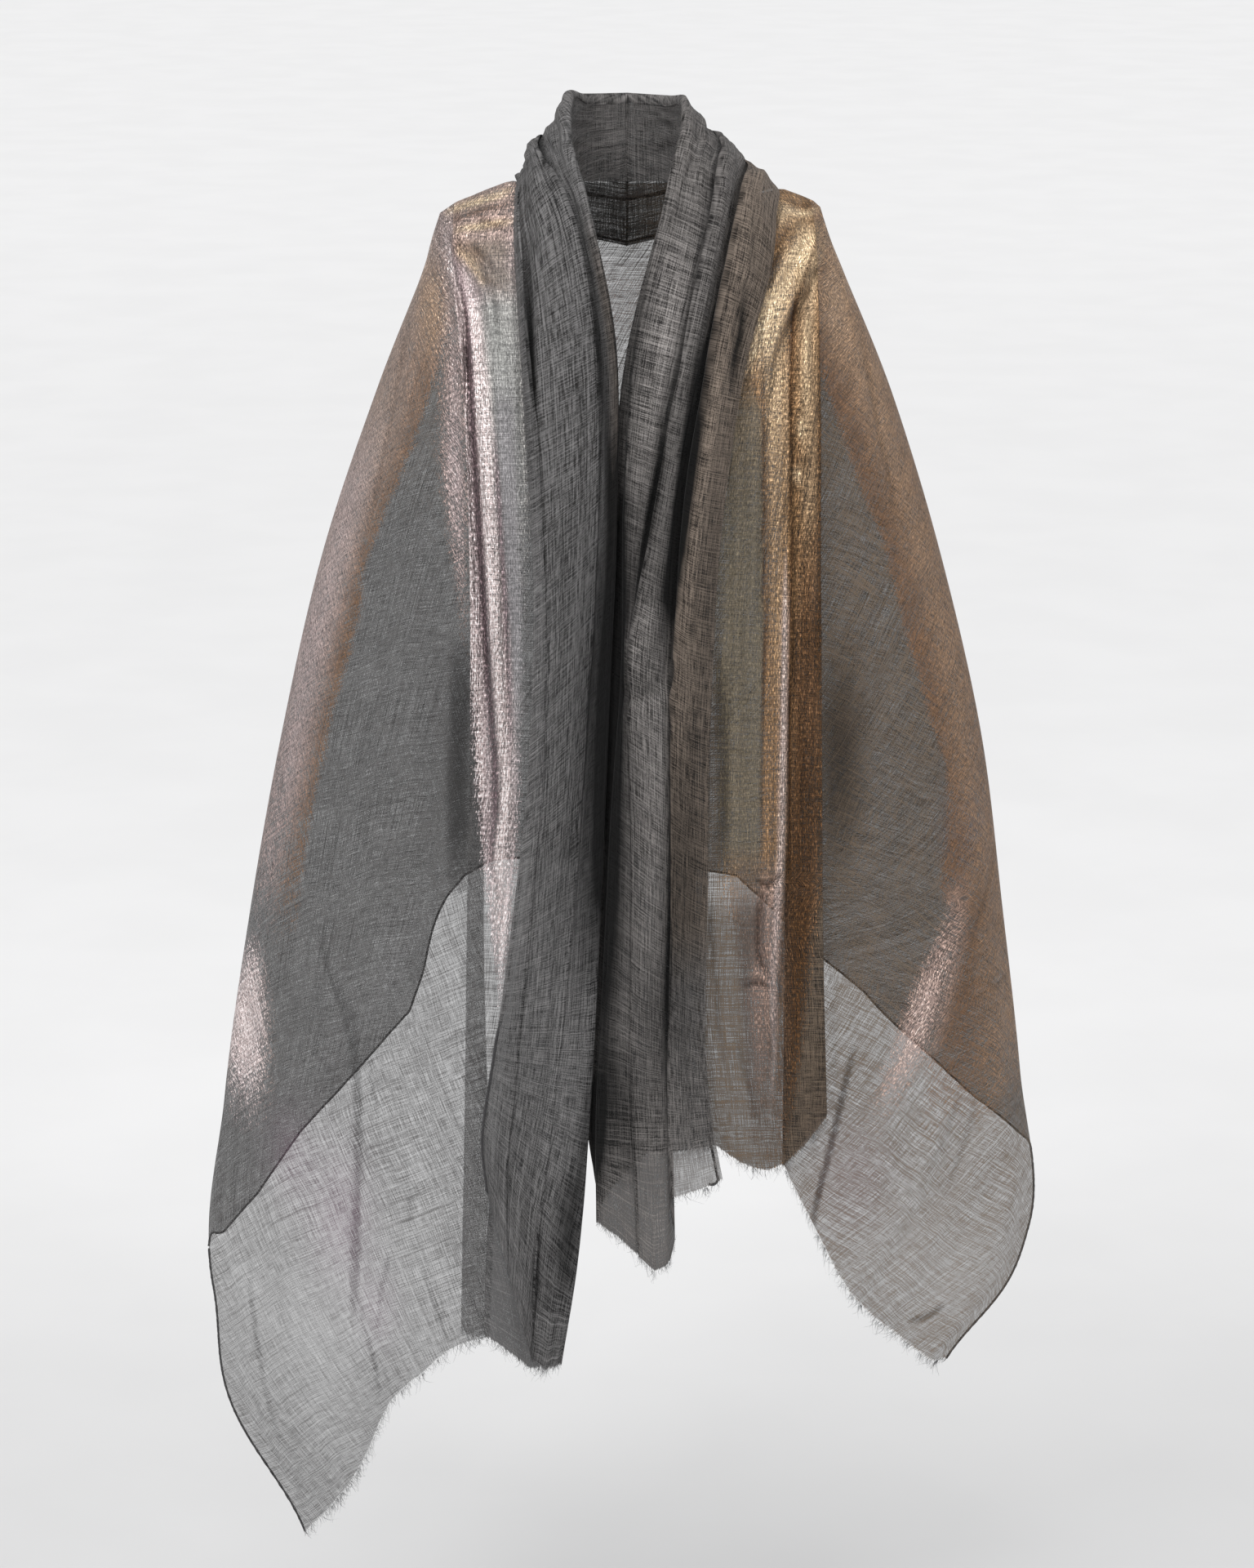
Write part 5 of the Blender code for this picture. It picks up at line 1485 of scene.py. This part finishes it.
def see_through(n, turn, yarn, slubs, mask, warmth):
    """How much of what is behind the cloth hides: the yarn, its plies, and the frayed ends."""
    plies = n.attribute("plies")
    warm_cover = n.calc("MULTIPLY", warmth, 0.12)
    holes = n.remap(n.calc("MULTIPLY_ADD", slubs, 0.08, yarn), 0.60, 1.05, 0.36, 0.94, False)
    holes = n.calc("MINIMUM", n.calc("MAXIMUM", n.calc("ADD", holes, warm_cover), 0.1), 0.95)
    cover = n.calc("MULTIPLY_ADD", n.calc("SUBTRACT", 0.92, holes), n.calc("MULTIPLY", mask, 0.7), holes)
    open_share = n.calc("SUBTRACT", 1.0, cover)
    more = n.calc("MAXIMUM", plies, 0.0)
    fewer = n.calc("MINIMUM", plies, 0.0)
    gathered = n.calc("SUBTRACT", 1.0, n.calc("POWER", open_share, n.calc("ADD", more, 1.0)))
    gathered = n.calc("MULTIPLY", gathered, n.calc("ADD", fewer, 1.0))
    frayed = n.calc("SUBTRACT", n.noise(1500, 26, 0.0, turn + 10), n.attribute("fray"))
    return n.calc("MULTIPLY", gathered, n.remap(frayed, -0.42, -0.12))


def cloth_material(name, turn, yarn_colour, warm_colour):
    """Heathered sheer cashmere whose foil, stains, wear and painted shade of folds come from the mesh's
    layers.
    """
    material = bpy.data.materials.new(name)
    n = Nodes(material)
    deep, lustre = n.attribute("deep"), n.attribute("lustre")
    yarn, heather, slubs, threads_up = woven(n, turn)
    bare, warmth = yarn_look(n, heather, slubs, deep, yarn_colour, warm_colour)
    mask, foil_colour, streak = foil_look(n, turn, heather, deep, lustre)
    n.put(n.shader.inputs["Base Color"], n.mix(mask, bare, foil_colour))
    n.put(n.shader.inputs["Metallic"], n.calc("MULTIPLY", mask, n.calc("MULTIPLY_ADD", lustre, 0.5, 0.4)))
    rough = n.calc("MULTIPLY_ADD", heather, -0.08, 0.86)
    polish = n.calc("MULTIPLY", mask, n.calc("MULTIPLY_ADD", lustre, 0.30, 0.18))
    n.put(n.shader.inputs["Roughness"], n.calc("SUBTRACT", rough, polish))
    n.shader.inputs["Sheen Weight"].default_value = 0.05
    n.shader.inputs["Sheen Roughness"].default_value = 0.45
    n.shader.inputs["Specular IOR Level"].default_value = 0.22
    n.put(n.shader.inputs["Alpha"], see_through(n, turn, yarn, slubs, mask, warmth))

    crumple = n.calc("MULTIPLY_ADD", n.noise(320, 220, 0.0, turn + 11), 0.8, n.calc("MULTIPLY", streak, 0.7))
    folds = n.calc("MULTIPLY", crumple, n.calc("MULTIPLY", mask, n.calc("ADD", lustre, 0.15)))
    relief = n.calc("MULTIPLY_ADD", threads_up, 0.22, folds)
    n.put(n.shader.inputs["Normal"], n.bump(relief, 0.0022, 0.8))
    return material


def thread_material(name, colour, roughness, scale):
    """Twisted thread: the same yarn, close up."""
    material = bpy.data.materials.new(name)
    n = Nodes(material)
    place = n.tree.nodes.new("ShaderNodeTexCoord")
    grain = n.tree.nodes.new("ShaderNodeTexNoise")
    grain.inputs["Scale"].default_value = scale
    grain.inputs["Detail"].default_value = 3.0
    n.put(grain.inputs["Vector"], place.outputs["Object"])
    shade = n.remap(grain.outputs["Fac"], 0.32, 0.7)
    lighter = tuple(min(c * 2.6, 1.0) for c in colour)
    n.put(n.shader.inputs["Base Color"], n.mix(shade, colour, lighter))
    n.put(n.shader.inputs["Roughness"], n.remap(grain.outputs["Fac"], 0.3, 0.7, roughness, roughness - 0.15))
    n.put(n.shader.inputs["Normal"], n.bump(grain.outputs["Fac"], 0.0004, 0.5))
    n.shader.inputs["Sheen Weight"].default_value = 0.2
    return material


def floor_material():
    """Pale paper with painted shade: darker close by than far behind."""
    material = bpy.data.materials.new("pale floor")
    n = Nodes(material)
    place = n.tree.nodes.new("ShaderNodeTexCoord")
    grain = n.tree.nodes.new("ShaderNodeTexNoise")
    grain.inputs["Scale"].default_value = 3.0
    grain.inputs["Detail"].default_value = 6.0
    n.put(grain.inputs["Vector"], place.outputs["Object"])
    shade = n.remap(grain.outputs["Fac"], 0.3, 0.7)
    split = n.tree.nodes.new("ShaderNodeSeparateXYZ")
    n.put(split.inputs["Vector"], place.outputs["Object"])
    from_middle = split.outputs["Y"]
    # Painted shade: the floor darkens towards the scarf and pales far behind.
    far = n.remap(from_middle, 0.5 - FLOOR_MIDDLE, 2.4 - FLOOR_MIDDLE)
    farther = n.remap(from_middle, 3.0 - FLOOR_MIDDLE, 14.0 - FLOOR_MIDDLE)
    mottled = n.mix(shade, (0.975, 0.975, 0.975), (1.0, 1.0, 1.0))
    paint = n.mix(far, (0.69, 0.69, 0.69), (0.87, 0.87, 0.87))
    paint = n.mix(farther, paint, (0.93, 0.93, 0.93))
    n.put(n.shader.inputs["Base Color"], n.mix(1.0, paint, mottled, "MULTIPLY"))
    n.shader.inputs["Roughness"].default_value = 0.95
    n.shader.inputs["Specular IOR Level"].default_value = 0.1
    return material


# ------------------------------------------------------------------------------------ pieces

COLLAR_PLIES = 1.2  # that the collar lies over, beyond its own


def left_collar_yarn(flat, place):
    """Warmth and plies: warmer beside the roll down to the bust, thicker at the frayed end."""
    down = -flat[..., 1]
    warmth = 0.12 + 0.5 * ease(place, 5.6, 7.0) * (1 - ease(down, 240, 420)) * ease(down, -10, 90)
    return warmth, COLLAR_PLIES + 1.0 * ease(down, 960, 1040)


def right_collar_yarn(flat, place):
    """Warmth and plies: warmer on the outer panel, thicker where the collars' ends overlap."""
    down = -flat[..., 1]
    warmth = 0.30 + 0.65 * (1 - ease(place, 0.9, 2.4)) * (1 - ease(down, 700, 800))
    overlap = ease(down, 880, 960) * (1 - ease(flat[..., 0], 38, 52))
    single = ease(down, 930, 990) * (1 - ease(place, 0.8, 1.6))
    return warmth, COLLAR_PLIES + 1.2 * overlap - 1.0 * single


# Everything that differs between the two sides.
#   sign: which way is outwards            grain: turn of the weave on the wing
#   belly: how far the free side hem stands out between the last two stations
#   warmth: the least, what is added, and the two heights between which it is added
#   front_lining: plies behind the lower front      hidden_open: how thin the hidden ply shows
#   collar_normal: 1 or -1, whichever turns the normals of the collar's grid outwards
#   hem_shows: stations between which the collar's hem comes out from under it; past END, never
#   hem_from: station where the side's rolled hem starts
LEFT_SIDE = {
    "name": "left", "sign": -1, "seed": 100, "slot": "rose_foil",
    "lines": LEFT, "belly": 22 * MM, "tongue": LEFT_TONGUE,
    "collar": LEFT_COLLAR, "collar_end": LEFT_COLLAR_END, "collar_normal": 1.0,
    "collar_creases": LEFT_COLLAR_CREASES, "collar_shade_and_highlights": LEFT_COLLAR_SHADE_AND_HIGHLIGHTS,
    "collar_yarn": left_collar_yarn,
    "front_end": LEFT_FRONT_END, "front_creases": LEFT_FRONT_CREASES,
    "wing_end": LEFT_WING_END, "wing_folds": LEFT_WING_FOLDS, "wing_creases": LEFT_WING_CREASES,
    "front_foil": LEFT_FRONT_FOIL, "beside_front_foil": LEFT_BESIDE_FOIL,
    "wing_foil": LEFT_WING_FOIL, "wing_shine": LEFT_WING_SHINE,
    "foil_spots": LEFT_FOIL_SPOTS, "foil_and_painted_light_strokes": LEFT_FOIL_AND_PAINTED_LIGHT_STROKES, "lustre": 0.9,
    "stains": LEFT_STAINS, "darker": LEFT_PAINTED_SHADE_SPOTS, "thicker": LEFT_THICKER,
    "warmth": (0.10, 0.35, -360, -120), "grain": math.radians(21), "grain_slope": -0.38,
    "front_lining": 0.0, "hidden_open": 0.93,
    "hem_shows": (THIGH + 0.4, KNEE - 0.1), "hem_from": BACK_HEM,
}
RIGHT_SIDE = {
    "name": "right", "sign": 1, "seed": 200, "slot": "gold_foil",
    "lines": RIGHT, "belly": 8 * MM, "tongue": RIGHT_TONGUE,
    "collar": RIGHT_COLLAR, "collar_end": RIGHT_COLLAR_END, "collar_normal": -1.0,
    "collar_creases": RIGHT_COLLAR_CREASES, "collar_shade_and_highlights": RIGHT_COLLAR_SHADE_AND_HIGHLIGHTS,
    "collar_yarn": right_collar_yarn,
    "front_end": RIGHT_FRONT_END, "front_creases": RIGHT_FRONT_CREASES,
    "wing_end": RIGHT_WING_END, "wing_folds": RIGHT_WING_FOLDS, "wing_creases": RIGHT_WING_CREASES,
    "front_foil": RIGHT_FRONT_FOIL, "beside_front_foil": None,
    "wing_foil": RIGHT_WING_FOIL, "wing_shine": RIGHT_WING_SHINE,
    "foil_spots": RIGHT_FOIL_SPOTS, "foil_and_painted_light_strokes": RIGHT_FOIL_AND_PAINTED_LIGHT_STROKES, "lustre": 0.65,
    "stains": RIGHT_STAINS, "darker": RIGHT_PAINTED_SHADE_SPOTS, "thicker": RIGHT_THICKER_AND_SHADED,
    "warmth": (0.85, 0.15, -560, -200), "grain": math.radians(26), "grain_slope": 0.50,
    "front_lining": 0.9, "hidden_open": 0.35,
    "hem_shows": (END + 1, END + 2), "hem_from": RIGHT_BACK_HEM,
}


def wear_at_end(points):
    """1 at the frayed end, falling to 0 a tear's length inside."""
    steps = np.linalg.norm(np.diff(points, axis=0), axis=2)
    above = np.concatenate([np.cumsum(steps[::-1], axis=0)[::-1], np.zeros((1, points.shape[1]))])
    return 1 - ease(above, 0.0, TEAR)


def turned(across, down, angle):
    """Cloth coordinates turned to the grain."""
    u = across * math.cos(angle) + down * math.sin(angle)
    v = down * math.cos(angle) - across * math.sin(angle)
    return np.stack([u, v], axis=-1)


def row_run(points):
    """Distance run along each row of a grid, from its first column."""
    steps = np.linalg.norm(np.diff(points, axis=1), axis=2)
    return np.concatenate([np.zeros((points.shape[0], 1)), np.cumsum(steps, axis=1)], axis=1)


def blend(share, first, second):
    """A colour at each place, from the first where the share is 0 to the second where it is 1."""
    share = share[..., None]
    return np.array(first) * (1 - share) + np.array(second) * share


def drape_foil(side, flat, on_front):
    """The foil of a front and the cloth over its arm: strength, colour (with painted highlights and painted
    crease shade) and lustre.
    """
    z = flat[..., 1]
    front_foil, front_tint, front_dull = foiled(flat, side["front_foil"])
    wing_foil, wing_tint, _ = foiled(flat, side["wing_foil"])
    beside = band(flat, side["beside_front_foil"], 1.0) if side["beside_front_foil"] else 0 * z
    shine = band(flat, side["wing_shine"], 1.0)
    wing_foil = np.maximum(np.maximum(wing_foil, beside), shine)
    wing_tint += (np.array(ROSE) - wing_tint) * beside[..., None]
    foil = front_foil * on_front + wing_foil * (1 - on_front)
    tint = front_tint * on_front[..., None] + wing_tint * (1 - on_front)[..., None]
    for colour, x, height, half_x, half_z, amount in side["foil_spots"]:
        here = blob(flat, x, height, half_x, half_z) * amount
        tint += (np.array(colour) - tint) * here[..., None]
    # Painted highlights and painted shade along the shoulders' creases, with some patches of foil colour.
    for colour, amount, half_width, route in side["foil_and_painted_light_strokes"]:
        here = creased(flat, [(amount, half_width, 0.0, route)])[0] / MM
        tint += (np.array(colour) - tint) * here[..., None]
    front_lustre = side["lustre"] * (1 - 0.8 * front_dull) * (1 - 0.3 * ease(z, -180, -100))
    wing_lustre = 0.10 + 0.3 * ease(z, -240, -60) + np.maximum(beside, shine) * 0.6
    return foil, tint, front_lustre * on_front + wing_lustre * (1 - on_front)


def make_drape(side):
    """The sheet of one side: front, pleat and the cloth over the arm."""
    cloth = drape(side)
    points, flat, share = cloth["points"], cloth["flat"], cloth["share"][None]
    across = row_run(points)
    down = -points[..., 2] - 0.6 * points[..., 1]
    straight = corner_values(turned(across, down, 0.0))
    slanted = corner_values(turned(across, down, side["grain"]))
    weave = slanted.copy()
    weave[:, : cloth["front_last"]] = straight[:, : cloth["front_last"]]

    on_front = 1 - ease(share, 0.0, 0.04) + 0 * across
    foil, tint, lustre = drape_foil(side, flat, on_front)
    z = flat[..., 1]
    least, more, low, high = side["warmth"]
    plies_and_shade = side["front_lining"] * on_front * ease(-z, 690, 730)
    plies_and_shade[:, cloth["front_last"] : cloth["wing_first"]] -= side["hidden_open"]
    plies_and_shade += spots(flat, side["thicker"]) * (1 - on_front)
    layers = {
        "foil": foil, "tint": tint, "lustre": lustre, "stain": spots(flat, side["stains"]),
        "warmth": least + more * ease(z, low, high), "fray": wear_at_end(points),
        "plies": cloth["plies"] + plies_and_shade,
        # Painted shade: darker along the gathered creases, and in spots on the cloth over an arm.
        "deep": cloth["plies"] * 0.5 + spots(flat, side["darker"]) * (1 - on_front),
    }
    material = cloth_material(
        f"foil printed cashmere, {side['name']}", side["seed"] / 10, FACE_YARN, FACE_WARM
    )
    made = add_sheet(f"cloth_drape_{side['name']}", points, weave, layers, material)
    return made, cloth


def make_collar(side):
    """The sheet of one side's collar, with the cloth's wrong side out."""
    cloth = collar(side)
    points, place, flat = cloth["points"], cloth["place"][None], cloth["flat"]
    across, down = cloth["across_mm"] * MM, cloth["run"] * MM + 0 * cloth["across_mm"]
    weave = corner_values(turned(across, down, 0.0))
    none = np.zeros(flat.shape[:-1])
    warmth, plies = side["collar_yarn"](flat, place)
    near_spine = 1 - ease(cloth["stations"], BEHIND, SHOULDER)[:, None]
    warmth = warmth + (0.25 - warmth) * near_spine
    layers = {
        "foil": none, "tint": none[..., None] + np.array(SILVER), "lustre": none + 0.2,
        "stain": none, "warmth": warmth, "plies": plies + cloth["plies"],
        "fray": wear_at_end(points), "deep": cloth["deep"],
    }
    material = cloth_material(
        f"wrong side of the cashmere, {side['name']}", side["seed"] / 7, WRONG_YARN, WRONG_WARM
    )
    made = add_sheet(f"cloth_collar_{side['name']}", points, weave, layers, material)
    return made, cloth


def make_back():
    """The sheet of the back, from one side's outline to the other's."""
    cloth = back()
    points, flat = cloth["points"], cloth["flat"]
    across = row_run(points)
    down = -points[..., 2] + 0.4 * points[..., 1]
    weave = corner_values(turned(across, down, math.pi / 2))
    z, x = flat[..., 1], flat[..., 0]
    foil = across_band(flat, BACK_FOIL)
    left_share = 1 - ease(x, -60, 60)
    tint = blend(left_share, GOLD, ROSE)
    tint = tint + (np.array(COPPER) - tint) * (ease(-z, 80, 300) * 0.5)[..., None]
    behind_arm = 1 - ease(points[..., 1], 0.0, FOIL_ROUND_ARM)
    for bands, shine in ((LEFT_WING_FOIL, LEFT_WING_SHINE), (RIGHT_WING_FOIL, RIGHT_WING_SHINE)):
        own_side = behind_arm * ease(x * np.sign(shine[0][1]), 120, 160)
        arm_foil, arm_tint, _ = foiled(flat, bands)
        arm_foil = np.maximum(arm_foil, band(flat, shine, 1.0))
        plain = band(flat, bands[0][2], 0.4) * 0.5
        foil = np.maximum(foil, plain + (arm_foil - plain) * own_side)
        tint = tint + (arm_tint - tint) * own_side[..., None]
    lustre = 0.12 + 0.3 * ease(z, -240, -60) * behind_arm
    layers = {
        "foil": foil, "tint": tint, "stain": 0 * z, "warmth": 0.85 - 0.75 * left_share,
        "plies": cloth["plies"], "fray": 0 * z, "deep": 0 * z, "lustre": lustre,
    }
    material = cloth_material("foil printed cashmere, back", 44.0, FACE_YARN, FACE_WARM)
    return add_sheet("cloth_back", points, weave, layers, material), cloth


def held(piece, slot, *nodes):
    """Put a piece on the body and hide the CAD nodes that it stands for. The slot is not used."""
    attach(piece, "root")
    if nodes:
        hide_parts(*nodes)
    return piece


rolled = thread_material("rolled hem of dark yarn", DARK_HEM, 0.8, 900)
loose = thread_material("loose cashmere threads", LOOSE_YARN, 0.85, 1500)

back_piece, back_cloth = make_back()
held(back_piece, "cashmere", "back", "wing_back_left", "wing_back_right")
back_hem = tube("rolled_hem_back", back_cloth["points"][-1], HEM_RADIUS, rolled, seed=11)
held(back_hem, "rolled_hem", "hem_back")

for side in (LEFT_SIDE, RIGHT_SIDE):
    where = side["name"]
    seed = side["seed"]
    drape_piece, drape_cloth = make_drape(side)
    held(drape_piece, side["slot"], f"front_{where}", f"pleat_{where}", f"wing_{where}")
    points = drape_cloth["points"]
    below_back = drape_cloth["stations"] >= side["hem_from"]
    side_hem = tube(f"rolled_hem_side_{where}", points[below_back, -1], HEM_RADIUS, rolled, seed=seed)
    held(side_hem, "rolled_hem", f"hem_side_{where}")
    first = drape_cloth["front_last"]
    front_threads = threads(
        f"threads_front_{where}", points[-1, :first], points[-4, :first], loose, seed + 20
    )
    held(front_threads, "loose_threads", f"fringe_front_{where}")
    start = drape_cloth["wing_first"]
    wing_threads = threads(
        f"threads_wing_{where}", points[-1, start:], points[-4, start:], loose, seed + 21
    )
    held(wing_threads, "loose_threads", f"fringe_wing_{where}")

    collar_piece, collar_cloth = make_collar(side)
    held(collar_piece, "cashmere", f"collar_{where}")
    points, place = collar_cloth["points"], collar_cloth["place"]
    # The cord lies inside the edge where that is tucked away, and just out from it elsewhere.
    # Its end hooks in towards the neck's side of the collar.
    tucked = 1 - ease(collar_cloth["stations"], *side["hem_shows"])[:, None]
    hem_path = points[:, 0] + (collar_cloth["in"] * 5 * MM - collar_cloth["out"] * 2 * MM) * tucked
    hem_path += collar_cloth["out"] * 1.2 * MM * (1 - tucked)
    hook = hem_path[-1] + np.array([(4, 0, -3), (10, 0, -3)]) * MM * (-side["sign"], 1, 1)
    hem_path = np.concatenate([hem_path[::3], hook])
    collar_hem = tube(
        f"rolled_hem_collar_{where}", hem_path, COLLAR_HEM_RADIUS, rolled, seed=seed + 1
    )
    held(collar_hem, "rolled_hem", f"hem_collar_{where}")
    over, under = place <= 7.4, place >= 8.8
    over_threads = threads(
        f"threads_collar_{where}", points[-1, over], points[-4, over], loose, seed + 22
    )
    held(over_threads, "loose_threads", f"fringe_collar_{where}")
    under_threads = threads(
        f"threads_under_{where}", points[-1, under], points[-4, under], loose, seed + 23
    )
    held(under_threads, "loose_threads", f"fringe_under_{where}")


# ------------------------------------------------------------------------------------- studio

FLOOR_Z = -1.85
FLOOR_SIZE = 120
FLOOR_MIDDLE = 20  # metres behind the scarf
CAMERA_DISTANCE = 4.0
CAMERA_PITCH = math.radians(16)
SENSOR = 36  # millimetres, along the picture's height
FOCAL = 91.875  # millimetres
CAMERA_HEIGHT = 0.5325

bpy.ops.mesh.primitive_plane_add(size=FLOOR_SIZE, location=(0, FLOOR_MIDDLE, FLOOR_Z))
floor = bpy.context.object
floor.name = "floor"
floor.data.materials.append(floor_material())

camera_data = bpy.data.cameras.new("camera")
camera_data.sensor_width = SENSOR
camera_data.lens = FOCAL
camera = bpy.data.objects.new("camera", camera_data)
camera.location = (0, -CAMERA_DISTANCE, CAMERA_HEIGHT)
camera.rotation_euler = (math.pi / 2 - CAMERA_PITCH, 0, 0)
bpy.context.scene.collection.objects.link(camera)
bpy.context.scene.camera = camera


def sun(name, strength, softness, elevation, azimuth):
    """A soft far light. Azimuth 0 shines from the front (-Y), + from the viewer's right."""
    light = bpy.data.lights.new(name, "SUN")
    light.energy = strength
    light.angle = math.radians(softness)
    made = bpy.data.objects.new(name, light)
    made.rotation_euler = (math.radians(90 - elevation), 0, math.radians(azimuth))
    bpy.context.scene.collection.objects.link(made)


def softbox(name, place, size, power):
    """A square light turned to the middle of the scarf."""
    light = bpy.data.lights.new(name, "AREA")
    light.shape = "SQUARE"
    light.size = size
    light.energy = power
    made = bpy.data.objects.new(name, light)
    made.location = place
    low, high = CAD_BOX
    middle = [(a + b) / 2 for a, b in zip(low, high)]
    way = [m - p for m, p in zip(middle, place)]
    made.rotation_euler = (
        math.acos(-way[2] / math.dist(middle, place)), 0, math.atan2(way[0], -way[1]) + math.pi
    )
    bpy.context.scene.collection.objects.link(made)


sun("overhead", 1.62, 40, 74, -12)
softbox("key", (-1.7, -3.2, 2.0), 0.9, 56)
softbox("fill", (2.2, -3.2, 1.3), 0.9, 36)

world = bpy.data.worlds.new("pale studio")
world.use_nodes = True
bpy.context.scene.world = world
tree = world.node_tree
backdrop = tree.nodes["Background"]
backdrop.inputs["Color"].default_value = (0.87, 0.87, 0.87, 1)
ambient = tree.nodes.new("ShaderNodeBackground")
ambient.inputs["Color"].default_value = (0.46, 0.46, 0.465, 1)
seen = tree.nodes.new("ShaderNodeLightPath")
either = tree.nodes.new("ShaderNodeMixShader")
tree.links.new(seen.outputs["Is Camera Ray"], either.inputs["Fac"])
tree.links.new(ambient.outputs["Background"], either.inputs[1])
tree.links.new(backdrop.outputs["Background"], either.inputs[2])
tree.links.new(either.outputs["Shader"], tree.nodes["World Output"].inputs["Surface"])

bpy.context.scene.view_settings.view_transform = "Standard"
# Light passes through up to a dozen layers of the sheer cloth, and needs few bounces.
cycles = bpy.context.scene.cycles
cycles.max_bounces = 3
cycles.diffuse_bounces = 1
cycles.glossy_bounces = 1
cycles.transparent_max_bounces = 12
